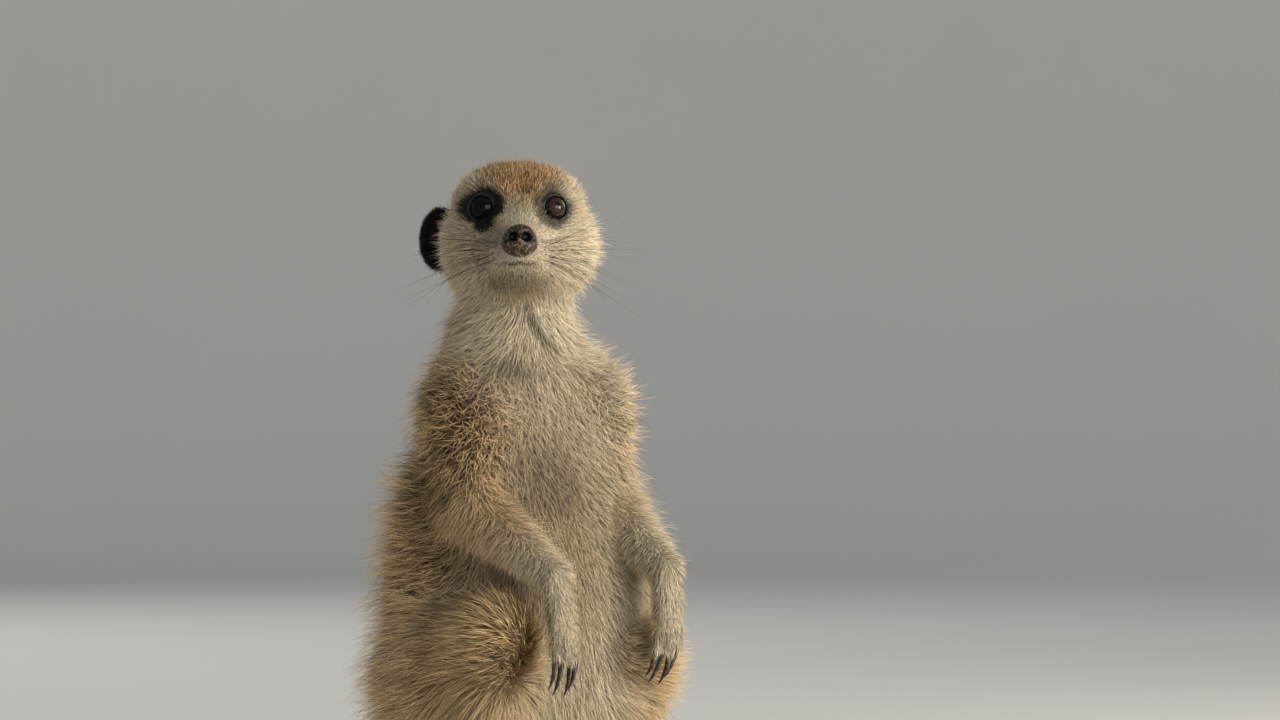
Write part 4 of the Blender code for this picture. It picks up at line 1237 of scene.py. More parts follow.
@dataclass(frozen=True)
class CoatFinish:
    """The hair's finish: markings, a dark band and a pale tip on grizzled hair, and painted shade towards the
    roots.
    """

    palette: Palette = field(default_factory=Palette)

    def ground(self, finish: Finish) -> tuple[Socket, Value]:
        """The coat's colour by its markings, before banding and darkness.

        Args:
            finish: The material being made.

        Returns:
            The colour, and the darkness still to be laid on it.
        """
        c = self.palette
        dark, gold, pale, grey = finish.four("marking")
        ruddy = finish.four("strand")[3]
        patchy = finish.noise(90.0, 3.0)
        colour = finish.mix((gold + (patchy - 0.5) * 0.9).eased(0.0, 1.0), c.brown, c.gold)
        colour = finish.mix(grey, colour, c.grey)
        colour = finish.mix(pale, colour, c.pale)
        return finish.mix(ruddy, colour, c.ruddy), dark

    def make(self, name: str) -> Material:
        """The finish of the hair."""
        c = self.palette
        finish = Finish(name, 0.62, 0.16)
        colour, dark = self.ground(finish)
        along, random, grizzle, _ = finish.four("strand")
        low = 1.0 - along.eased(0.30, 0.72)
        deep = 1.0 - random.eased(0.20, 0.42)
        colour = finish.mix((low * 0.9 + deep * 0.7).eased(0.0, 1.0) * grizzle * 0.85, colour, c.umber)
        high = along.eased(0.42, 0.80) * random.eased(0.40, 0.70)
        colour = finish.mix(high * grizzle * 0.85, colour, c.straw)
        # Painted shade: each hair darkened towards its root, more on grizzled hair, where the coat shades
        # itself.
        light = 1.0 - (0.42 + 0.32 * grizzle) * (1.0 - along.eased(0.0, 0.70))
        light = light * (1.0 + (random - 0.5) * (0.30 + 1.30 * grizzle))
        light = light * (1.0 - 0.6 * grizzle * (1.0 - random.eased(0.06, 0.12)))
        colour = finish.shade(colour, light)
        # The dark marking laid on as black: dark hair and painted shade.
        finish.colour(finish.mix(dark, colour, c.black))
        finish.levels({"Sheen Weight": 0.02, "Sheen Roughness": 0.4})
        return finish.material


@dataclass(frozen=True)
class SkinFinish:
    """The skin's finish: the coat's markings under the hair, darkened as painted shade, bare nose, lids and
    pads.
    """

    coat: CoatFinish = field(default_factory=CoatFinish)

    def make(self) -> Material:
        """The finish of the skin."""
        c = self.coat.palette
        finish = Finish("meerkat_skin", 0.6, 0.4)
        colour, dark = self.coat.ground(finish)
        bare, wet, nose, hole = finish.four("bare")
        hair = finish.noise(1400.0, 2.0)
        # Painted shade: the markings darkened where the skin lies in the shade of the hair.
        colour = finish.shade(colour, 0.30 + 0.35 * hair)
        # The dark marking laid on as black: dark hair and painted shade.
        colour = finish.mix(dark, colour, c.black)
        hide = finish.mix(finish.noise(500.0, 3.0).eased(0.3, 0.7), c.hide, c.black)
        pebble = finish.cells(1500.0)
        light = finish.noise(700.0, 4.0, 0.65).eased(0.46, 0.70) * pebble.eased(0.10, 0.50)
        leather = finish.mix(light, c.nose, c.nose_light)
        leather = finish.mix(pebble.eased(0.45, 0.8), leather, c.black)
        # Painted shade: the nostrils near black.
        hide = finish.mix(hole, finish.mix(nose, hide, leather), (0.003, 0.002, 0.002))
        finish.colour(finish.mix(bare, colour, hide))
        finish.rough(0.7 - 0.35 * wet)
        finish.bump(pebble * nose * (-1.0) + hair * 0.3, 0.5, 0.0004)
        return finish.material


# ---------------- skin
@dataclass
class Skin:
    """One closed skin over the whole animal."""

    animal: Meerkat
    place: Place
    cell: float = 0.155
    mesh: Mesh | None = None
    points: Array | None = None

    def rough_form(self) -> BMesh:
        """The balls of every part run together into one closed mesh of even cells."""
        bm = bmesh.new()
        for centre, radii, turn in self.animal.seeds():
            at = np.eye(4)
            at[:3, :3], at[:3, 3] = turn @ np.diag(radii), centre
            bmesh.ops.create_icosphere(bm, subdivisions=2, radius=1.0, matrix=Matrix(at.tolist()))
        mesh = finished(bm, "rough")
        made = linked("rough", mesh)
        step = made.modifiers.new("remesh", "REMESH")
        step.mode, step.voxel_size = "VOXEL", self.cell
        graph = bpy.context.evaluated_depsgraph_get()
        bm = bmesh.new()
        bm.from_mesh(made.evaluated_get(graph).data)
        bpy.data.objects.remove(made)
        bpy.data.meshes.remove(mesh)
        return bm

    def drawn(self, p: Array, fine: bool) -> Array:
        """Points moved on to the skin."""
        measure = self.animal.folded if fine else self.animal.distance
        value = measure(p)
        slope = np.stack([measure(p + step) - value for step in np.eye(3) * 0.004], 1) / 0.004
        steep = lengths(slope) + 1e-6
        return p - slope / steep[:, None] * np.clip(value / steep, -0.25, 0.25)[:, None]

    def eased(self, p: Array, ends: Array, share: float) -> Array:
        """Points moved part of the way to the middle of their neighbours."""
        total = np.stack([np.bincount(ends[:, 0], p[ends[:, 1], k], len(p))
                          + np.bincount(ends[:, 1], p[ends[:, 0], k], len(p)) for k in range(3)], 1)
        middle = total / np.bincount(ends.ravel(), minlength=len(p))[:, None]
        return p + (middle - p) * share

    def settle(self, bm: BMesh, rounds: int, where: Array | None, fine: bool) -> None:
        """Draws the vertices on to the skin and evens them out.

        Args:
            bm: The mesh.
            rounds: How often both are done.
            where: Which vertices may move, or None for all.
            fine: Whether the face's folds count.
        """
        p = coordinates(bm)
        ends = np.array([[v.index for v in e.verts] for e in bm.edges])
        chosen = np.ones(len(p), bool) if where is None else where
        for turn in range(rounds):
            if turn:
                even = self.eased(p, ends, 0.4)
                p[chosen] = even[chosen]
            p[chosen] = self.drawn(p[chosen], fine)
        put(bm, p)

    def within(self, p: Array, near: list[tuple[Array, float]]) -> Array:
        """Which points lie within reach of any of the places."""
        return np.logical_or.reduce([lengths(p - centre) < reach for centre, reach in near])

    def refine(self, bm: BMesh, near: list[tuple[Array, float]]) -> Array:
        """Halves the cells within reach of some points.

        Args:
            bm: The mesh.
            near: Points with their reach.

        Returns:
            Which vertices lie within reach afterwards.
        """
        inside = self.within(coordinates(bm), near)
        edges = [e for e in bm.edges if inside[e.verts[0].index] and inside[e.verts[1].index]]
        bmesh.ops.subdivide_edges(bm, edges=edges, cuts=1, use_grid_fill=True)
        bm.verts.index_update()
        bm.verts.ensure_lookup_table()
        return self.within(coordinates(bm), near)

    def sockets(self, bm: BMesh) -> None:
        """Opens the lids: the skin in front of each eyeball is wrapped behind it."""
        head = self.animal.head
        p = coordinates(bm)
        edge, step = radians(head.opening), radians(4.0)
        for side in Side:
            centre, look = head.eye(side), head.look(side)
            off = p - centre
            far = lengths(off)
            angle = np.arccos(np.clip(off @ look / (far + 1e-9), -1.0, 1.0))
            spread = unit(off - np.outer(off @ look, look))
            front = (far < head.eye_radius + 0.6) & (angle < edge + step)
            inner = front & (angle < edge - step * 0.5)
            rim = front & (angle >= edge - step * 0.5) & (angle < edge + step * 0.5)
            back = edge + (1.0 - angle / edge) * (pi - edge)
            wrapped = np.cos(back)[:, None] * look + np.sin(back)[:, None] * spread
            p[inner] = (centre + wrapped * (head.eye_radius + 0.012))[inner]
            lip = look * cos(edge) + spread * sin(edge)
            p[rim] = (centre + lip * (head.eye_radius + 0.03))[rim]
        put(bm, p)

    def build(self) -> None:
        """Makes the skin's mesh with its unwrap."""
        head = self.animal.head
        bm = self.rough_form()
        self.settle(bm, 5, None, False)
        ends = [(head.point(0, 0.3, -0.8), 3.6), *((head.ear(side)[0].at, 1.3) for side in Side),
                *((arm.knuckle + arm.down * 0.1, 1.3) for arm in self.animal.arms.values()),
                *((leg.ball + leg.ahead * 0.5, 1.5) for leg in self.animal.legs.values())]
        face = [*((head.point(side.value * 1.3, -0.35, 0.0), 1.05) for side in Side),
                (head.point(0.0, -2.5, -1.7), 1.15)]
        features = [*((head.eye(side) + head.look(side) * 0.5, 0.62) for side in Side),
                    (head.point(0.0, -2.9, -1.4), 0.6)]
        for near, fine in ((ends, False), (face, True), (features, True)):
            self.settle(bm, 3, self.refine(bm, near), fine)
        self.sockets(bm)
        p = coordinates(bm)
        p[:, 2] = np.maximum(p[:, 2], 0.02)
        put(bm, self.place.metres(p))
        bmesh.ops.recalc_face_normals(bm, faces=bm.faces[:])
        self.mesh, self.points = finished(bm, "skin"), p

    def unwrap(self, piece: Object) -> None:
        """Lays the skin out flat, for its own finish and for the coat's."""
        self.mesh.uv_layers.new(name="OFBake")
        bpy.context.view_layer.objects.active = piece
        piece.select_set(True)
        bpy.ops.object.mode_set(mode="EDIT")
        bpy.ops.mesh.select_all(action="SELECT")
        bpy.ops.uv.smart_project(angle_limit=radians(66.0), island_margin=0.002)
        bpy.ops.object.mode_set(mode="OBJECT")
        piece.select_set(False)

    def bareness(self, p: Array) -> Array:
        """Where the skin is bare: bare, wet, nose leather and nostril, the last painted shade in the
        nostrils' hollows.
        """
        head = self.animal.head
        q = head.local(p)
        pad = Lump(head.nose_at, tuple(vec(*head.nose_radii) + 0.015)).distance(q)
        nose = fade(pad, 0.0, 0.05) * fade(q[:, 1], -2.52, -2.40)
        lids = np.zeros(len(p))
        for side in Side:
            off = p - head.eye(side)
            angle = np.arccos(np.clip(unit(off) @ head.look(side), -1.0, 1.0))
            close = lengths(off) < head.eye_radius + 0.14
            lid = fade(angle, radians(head.opening + 7), radians(head.opening + 15))
            lids = np.maximum(lids, lid * close)
        soles = np.zeros(len(p))
        for arm in self.animal.arms.values():
            off = p - arm.knuckle - arm.down * 0.1
            palm = smooth(-off @ arm.back, 0.05, 0.18) * fade(lengths(off), 0.55, 0.85)
            soles = np.maximum(soles, palm)
        for leg in self.animal.legs.values():
            soles = np.maximum(soles, (p[:, 2] < 0.12) * (lengths(p - leg.ball) < 4.5))
        bare = np.clip(np.maximum.reduce([nose, lids, soles]), 0.0, 1.0)
        one_side = head.one_side(q)
        # Painted shade: the nostrils and the slits beside them, darkened as hollows.
        hole = Lump(head.nostril_at, head.nostril_radii).distance(one_side)
        hole = fade(np.minimum(hole, head.slit().distance(one_side)), 0.0, 0.045)
        return np.stack([bare, np.maximum(lids * 0.5, nose * 0.7), nose, hole], 1)

    def dress(self) -> Object:
        """Gives the skin its markings and finish."""
        piece = linked("skin", self.mesh)
        self.unwrap(piece)
        shares = self.animal.shares(self.points)
        marks = self.animal.markings(self.points, shares)
        paint(self.mesh, "marking", marks[:, :RUDDY])
        flat = np.full((len(marks), 4), 0.5)
        flat[:, 2], flat[:, 3] = marks[:, GRIZZLE], marks[:, RUDDY]
        paint(self.mesh, "strand", flat)
        paint(self.mesh, "bare", self.bareness(self.points))
        self.mesh.materials.append(SkinFinish().make())
        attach(piece, "root")
        limbs = [part + side for side in ("left", "right")
                 for part in ("ear_", "upper_arm_", "forearm_", "hand_", "thigh_", "shank_", "foot_")]
        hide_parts("head", "neck", "trunk", "nose", "tail_base", "tail_middle", "tail_tip", *limbs)
        log.info("skin: %d faces", len(self.mesh.polygons))
        return piece


# ---------------- coat
class Patch(Enum):
    """The coat's patches, each with the name of one of the record's slots."""

    HEAD = "crown_coat"
    FRONT = "belly_coat"
    BACK = "back_coat"
    LIMBS = "limb_coat"
    TAIL = "tail_coat"
    TAIL_TIP = "tail_dark"
    EARS = "ear_black"


# One tuft is a ribbon: its corners by their place across and along, the triangles between them, and the
# size of its patch of the unwrap.
SPAN = np.array([[-0.5, 0.0], [0.5, 0.0], [-0.5, 0.36], [0.5, 0.36], [-0.4, 0.7], [0.4, 0.7], [0.0, 1.0]])
RIBBON = np.array([[0, 3, 1], [0, 2, 3], [2, 5, 3], [2, 4, 5], [4, 6, 5]])
PATCH_SIZE = 0.003


@dataclass(frozen=True)
class Locks:
    """Tufts with everything their meshes need, one row for each."""

    roots: Array
    normals: Array
    flow: Array
    depth: Array
    marks: Array
    unwrap: Array
    patch: Array
    chance: Array
    tangle: Array

    def pick(self, which: Array) -> "Locks":
        """Only some of the tufts."""
        return Locks(*(getattr(self, name)[which] for name in self.__dataclass_fields__))


@dataclass
class Coat:
    """Solid tufts over the skin, following the lie of the coat.

    most is a piece's triangles, density is per square centimetre and roll is in degrees.
    """

    animal: Meerkat
    skin: Skin
    place: Place
    most: int = 185000
    density: float = 215.0
    short_density: float = 1300.0
    short_depth: float = 0.30
    stray_rise: float = 1.85
    stray_length: float = 1.40
    stray_width: float = 0.7
    roll: float = 28.0
    rng: np.random.Generator = field(default_factory=lambda: np.random.default_rng(11))

    def vertex_lie(self, p: Array, normals: Array, shares: Fields) -> Array:
        """The lie of the coat at the skin's vertices, along the skin and evened out."""
        flow = self.animal.lie(p, shares)
        ends = read(self.skin.mesh.edges, "vertices", 2, np.int32)
        for _ in range(8):
            flow = unit(flow - normals * (flow * normals).sum(1)[:, None])
            flow = self.skin.eased(flow, ends, 0.7)
        return unit(flow - normals * (flow * normals).sum(1)[:, None])

    def thickness(self, p: Array, normals: Array, depth: Array, bare: Array, shares: Fields) -> Array:
        """Tufts per square centimetre at the skin's vertices, more where the coat is short.

        Args:
            p: The vertices.
            normals: The skin's normals there.
            depth: The coat's depth there.
            bare: How bare the skin is there.
            shares: The parts' shares of them.
        """
        thick = self.density + self.short_density * np.exp(-depth / self.short_depth)
        feet = (shares["leg_LEFT"] + shares["leg_RIGHT"]) * fade(p[:, 2], 1.0, 2.5)
        thick *= 1.0 - 0.45 * feet - 0.25 * shares["tail"]
        under = smooth(-normals[:, 2], 0.5, 0.9) * fade(p[:, 2], 0.25, 0.6)
        return thick * fade(bare, 0.2, 0.6) * (1.0 - under)

    def grow(self) -> Locks:
        """Sets the tufts' roots over the skin, so many to each square centimetre."""
        mesh, p = self.skin.mesh, self.skin.points
        normals = read(mesh.vertices, "normal", 3).astype(float)
        shares = self.animal.shares(p)
        flow = self.vertex_lie(p, normals, shares)
        depth = self.animal.coat_depth(p) * (1.0 - shares["ear"]) + 0.07 * shares["ear"]
        bare = self.skin.bareness(p)[:, 0]
        thick = self.thickness(p, normals, depth, bare, shares)
        head = self.animal.head
        for side in Side:
            thick[lengths(p - head.eye(side)) < head.eye_radius + 0.05] = 0.0
        mesh.calc_loop_triangles()
        corners = read(mesh.loop_triangles, "vertices", 3, np.int32)
        loops = read(mesh.loop_triangles, "loops", 3, np.int32)
        uv = read(mesh.uv_layers["OFBake"].data, "uv", 2)
        a, b, c = (p[corners[:, k]] for k in range(3))
        area = 0.5 * lengths(np.cross(b - a, c - a))
        total = np.cumsum(area * thick[corners].mean(1))
        number = int(total[-1])
        chosen = np.searchsorted(total, (np.arange(number) + self.rng.random(number)) * total[-1] / number)
        chosen = np.minimum(chosen, len(corners) - 1)
        r = np.sqrt(self.rng.random(number))
        s = self.rng.random(number)
        weight = np.stack([1.0 - r, r * (1.0 - s), r * s], 1)
        corner = corners[chosen]

        def spread(values: Array) -> Array:
            """Vertex values at the roots."""
            if values.ndim == 1:
                return (values[corner] * weight).sum(1)
            return (values[corner] * weight[:, :, None]).sum(1)

        roots = spread(p)
        jitter = roots + self.rng.normal(0.0, 0.05, roots.shape)
        own = self.animal.shares(jitter)
        marks = self.animal.markings(jitter, own)
        patch = self.patches(roots, own, marks)
        unwrap = (uv[loops[chosen]] * weight[:, :, None]).sum(1)
        log.info("coat: %d tufts over %.0f square centimetres", number, area.sum())
        deep = spread(depth)
        shag = smooth(deep, 0.2, 1.2)
        group, members = self.clumps(roots, shag, 0.13)
        common, single = self.rng.random(len(members))[group] - 0.5, self.rng.random(number) - 0.5
        chance = np.clip(0.5 + 1.3 * (single + (common - single) * 0.6 * shag), 0.0, 1.0)
        return Locks(roots, unit(spread(normals)), unit(spread(flow)), deep, marks, unwrap, patch, chance,
                     self.animal.tangle(roots, own))

    def clumps(self, roots: Array, shag: Array, size: float) -> tuple[Array, Array]:
        """The clump each root belongs to, a cell of a warped grid, and how many roots each clump has.

        Args:
            roots: The roots.
            shag: How long the coat is at each, from 0 to 1.
            size: The size of a cell.
        """
        warp = roots + 0.35 * np.sin(roots[:, [1, 2, 0]] * 2.3) + 0.2 * np.sin(roots[:, [2, 0, 1]] * 5.1)
        cell = np.floor(warp / (size * (0.6 + 0.8 * shag.round(1))[:, None])).astype(np.int64)
        primes = (73856093, 19349663, 83492791)
        key = np.bitwise_xor.reduce(cell * np.array(primes), axis=1)
        _, group, members = np.unique(key, return_inverse=True, return_counts=True)
        return group, members

    def patches(self, p: Array, shares: Fields, marks: Array) -> Array:
        """The number of the patch each root belongs to.

        Args:
            p: The roots.
            shares: The parts' shares of them.
            marks: Their markings.
        """
        owner = np.array(list(shares))[np.argmax(np.stack(list(shares.values()), 1), axis=1)]
        rules = [((owner == "trunk") & (marks[:, GRIZZLE] < 0.6), Patch.FRONT), (owner == "head", Patch.HEAD),
                 (owner == "ear", Patch.EARS), (owner == "tail", Patch.TAIL),
                 ((owner == "tail") & (marks[:, DARK] > 0.5), Patch.TAIL_TIP)]
        for side in Side:
            low_leg = (owner == "leg_" + side.name) & (p[:, 2] < 3.2)
            rules.append(((owner == "arm_" + side.name) | low_leg, Patch.LIMBS))
        order = list(Patch)
        out = np.full(len(p), order.index(Patch.BACK))
        for where, patch in rules:
            out[where] = order.index(patch)
        return out

    def lines(self, locks: Locks) -> tuple[Array, Array, Array]:
        """The tufts' middle lines.

        Args:
            locks: The tufts.

        Returns:
            Four points along each tuft, the directions across them, and their widths.
        """
        rng, n, f = self.rng, locks.normals, locks.flow
        count = len(n)
        shag = smooth(locks.depth, 0.2, 1.2)
        depth = np.maximum(locks.depth, 0.015) * (1.0 + rng.normal(0.0, 0.16, count)).clip(0.5, 1.5)
        length = 0.08 + 1.25 * locks.depth + 0.25 * locks.depth ** 2
        length = length * (1.0 + rng.normal(0.0, 0.18, count)).clip(0.5, 1.6)
        for arm in self.animal.arms.values():
            off = locks.roots - arm.knuckle
            length = length + 0.17 * smooth(off @ arm.down, -0.1, 0.35) * (lengths(off) < 1.3)
        stray = (rng.random(count) < 0.16 + 0.24 * shag) & (locks.chance > 0.5)
        depth = depth * np.where(stray, self.stray_rise, 1.0)
        length = length * np.where(stray, self.stray_length, 1.0)
        lift = np.arcsin(np.clip(depth * 0.95 / length, 0.04, 0.93))
        messy = 9.0 + 11.0 * shag + 7.0 * smooth(locks.marks[:, GRIZZLE], 0.5, 0.9) + 60.0 * locks.tangle
        yaw = rng.normal(0.0, 1.0, count) * np.radians(messy)
        f = f * np.cos(yaw)[:, None] + np.cross(n, f) * np.sin(yaw)[:, None]
        start = np.minimum(lift + radians(20.0), radians(85.0))
        end = np.maximum(2.0 * lift - start, radians(-12.0))
        stations, bend = SPAN[::2, 1], (end - start)[:, None]
        now = start[:, None] + bend * stations
        along = (np.sin(now) - np.sin(start)[:, None]) / bend * length[:, None]
        above = (np.cos(start)[:, None] - np.cos(now)) / bend * length[:, None] - 0.02
        line = locks.roots[:, None, :] + along[:, :, None] * f[:, None, :] + above[:, :, None] * n[:, None, :]
        line = self.gathered(line, locks, shag, stations)
        line = self.cleared(line, locks)
        roll = rng.normal(0.0, 1.0, count) * radians(self.roll)
        side = np.cross(n, f)
        across = side * np.cos(roll)[:, None] + n * np.sin(roll)[:, None]
        width = 0.009 + 0.012 * np.minimum(locks.depth, 1.1)
        width = width * (0.8 + 0.9 * smooth(locks.chance, 0.55, 0.95))
        width = width * np.where(stray, self.stray_width, 1.0)
        return line, across, width

    def gathered(self, line: Array, locks: Locks, shag: Array, stations: Array) -> Array:
        """The lines drawn together into wisps towards their tips.

        Args:
            line: Four points along each tuft.
            locks: The tufts.
            shag: How long the coat is at each, from 0 to 1.
            stations: How far along the tufts the points are, from 0 to 1.
        """
        tip = line[:, -1]
        for size, share in ((0.12, 0.16), (0.30, 0.22)):
            group, members = self.clumps(locks.roots, shag, size)
            middle = np.stack([np.bincount(group, tip[:, k]) for k in range(3)], 1) / members[:, None]
            pull = (middle[group] - tip) * (share * (0.04 + 0.96 * shag))[:, None]
            line = line + pull[:, None, :] * (stations ** 1.6)[None, :, None]
            tip = line[:, -1]
        return line

    def cleared(self, line: Array, locks: Locks) -> Array:
        """The lines lifted clear of the floor and of other parts of the body."""
        for station in (2, 3):
            buried = 0.02 - self.animal.distance(line[:, station])
            line[:, station] += locks.normals * np.clip(buried, 0.0, 0.5)[:, None]
        line[:, :, 2] = np.maximum(line[:, :, 2], 0.015)
        return line

    def mesh(self, name: str, line: Array, across: Array, width: Array, locks: Locks) -> Mesh:
        """Joined ribbons of one piece: three stations wide and a point.

        Args:
            name: The piece's name.
            line: Four points along each tuft.
            across: The directions across them.
            width: Their widths at the root.
            locks: The tufts.

        Returns:
            The mesh with its unwrap, markings and soft shading.
        """
        count, wide, corners = len(line), np.array([0.8, 1.0, 0.72]), len(SPAN)
        half = across[:, None, :] * (width[:, None] * wide)[:, :, None] * 0.5
        sides = np.stack([line[:, :3] - half, line[:, :3] + half], 2).reshape(count, -1, 3)
        points = np.concatenate([sides, line[:, 3:]], 1)
        triangles = (RIBBON[None] + corners * np.arange(count)[:, None, None]).reshape(-1, 3)
        mesh = from_triangles(name, self.place.metres(points.reshape(-1, 3)), triangles)
        patch = locks.unwrap[:, None, :] + (SPAN - vec(0.0, 0.5)) * PATCH_SIZE
        layer = mesh.uv_layers.new(name="OFBake")
        layer.data.foreach_set("uv", patch.reshape(-1, 2)[triangles.ravel()].astype(np.float32).ravel())
        marks = np.repeat(locks.marks, corners, axis=0)
        paint(mesh, "marking", marks[:, :RUDDY])
        along, chance = np.tile(SPAN[:, 1], count), np.repeat(locks.chance, corners)
        paint(mesh, "strand", np.stack([along, chance, marks[:, GRIZZLE], marks[:, RUDDY]], 1))
        soft = unit(locks.normals + 0.35 * self.rng.normal(0.0, 0.5, (count, 3)))
        mesh.normals_split_custom_set_from_vertices(np.repeat(soft, corners, axis=0).astype(np.float32))
        return mesh

    def build(self) -> list[Object]:
        """Makes every piece of the coat."""
        locks = self.grow()
        line, across, width = self.lines(locks)
        material = CoatFinish().make("meerkat_coat")
        made = []
        for number, patch in enumerate(Patch):
            rows = np.flatnonzero(locks.patch == number)
            if not len(rows):
                continue
            parts = int(ceil(len(rows) * len(RIBBON) / self.most))
            for part, some in enumerate(np.array_split(rows, parts), 1):
                name = "coat_" + patch.name.lower() + "_" + str(part)
                mesh = self.mesh(name, line[some], across[some], width[some], locks.pick(some))
                mesh.materials.append(material)
                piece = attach(linked(name, mesh), "root")
                made.append(piece)
                log.info("%s: %d triangles", name, len(mesh.polygons))
        return made


# ---------------- eyes, claws and whiskers
@dataclass
class Eye:
    """One eyeball: dark pupil, brown iris, dark edge and a clear wet front.

    The bulge starts at a share of the radius. Pupil and edge are given by the degrees from the line of sight
    between which they fade. The right eye is nearly black as painted shade: its iris is dimmed to a share of
    the left one's and its clear coat is weaker.
    """

    animal: Meerkat
    place: Place
    side: Side
    bulge: float = 0.035
    bulge_from: float = 0.72
    pupil_fade: Pair = (12.0, 17.0)
    edge_fade: Pair = (33.0, 41.0)
    iris: Triple = (0.016, 0.008, 0.006)
    iris_light: Triple = (0.066, 0.032, 0.022)
    pupil: Triple = (0.004, 0.003, 0.003)
    edge: Triple = (0.006, 0.004, 0.004)
    # Painted shade: the share of the left iris's brightness that the right iris keeps.
    dimmed: float = 0.12

    def build(self) -> Mesh:
        """A ball with its poles on the line of sight and a slight bulge in front."""
        head = self.animal.head
        look = head.look(self.side)
        bm = bmesh.new()
        bmesh.ops.create_uvsphere(bm, u_segments=48, v_segments=32, radius=head.eye_radius)
        spin = Vector((0, 0, 1)).rotation_difference(Vector(look)).to_matrix()
        for v in bm.verts:
            v.co.z += self.bulge * float(smooth(v.co.z / head.eye_radius, self.bulge_from, 1.0))
        bmesh.ops.rotate(bm, cent=(0, 0, 0), matrix=spin, verts=bm.verts[:])
        bmesh.ops.translate(bm, vec=Vector(head.eye(self.side)), verts=bm.verts[:])
        p = coordinates(bm)
        angle = np.degrees(np.arccos(np.clip(unit(p - head.eye(self.side)) @ look, -1.0, 1.0)))
        put(bm, self.place.metres(p))
        mesh, zero = finished(bm, "eye"), np.zeros(len(p))
        paint(mesh, "sight", np.stack([angle / 90.0, zero, zero, zero + 1.0], 1))
        return mesh

    def finish(self) -> Material:
        """The eye's finish."""
        # Painted shade: the right eye, on the shaded side, gets a dimmed iris and a weaker clear coat.
        coat, lit = (0.75, 1.0) if self.side is Side.LEFT else (0.26, self.dimmed)
        finish = Finish("eye_" + self.side.name.lower(), 0.25, 0.0, coat)
        away = finish.four("sight")[0] * 90.0
        fibre = finish.noise(900.0, 4.0, 0.7)
        colour = finish.mix(fibre.eased(0.35, 0.65) * lit, tuple(c * lit for c in self.iris), self.iris_light)
        colour = finish.mix(1.0 - away.eased(*self.pupil_fade), colour, self.pupil)
        colour = finish.mix(away.eased(*self.edge_fade), colour, self.edge)
        finish.colour(colour)
        return finish.material

    def dress(self) -> Object:
        """Builds and finishes the eye."""
        name = self.side.name.lower()
        piece = linked("eyeball_" + name, self.build())
        piece.data.materials.append(self.finish())
        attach(piece, "root")
        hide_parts("eye_" + name)
        log.info("eyeball_%s", name)
        return piece


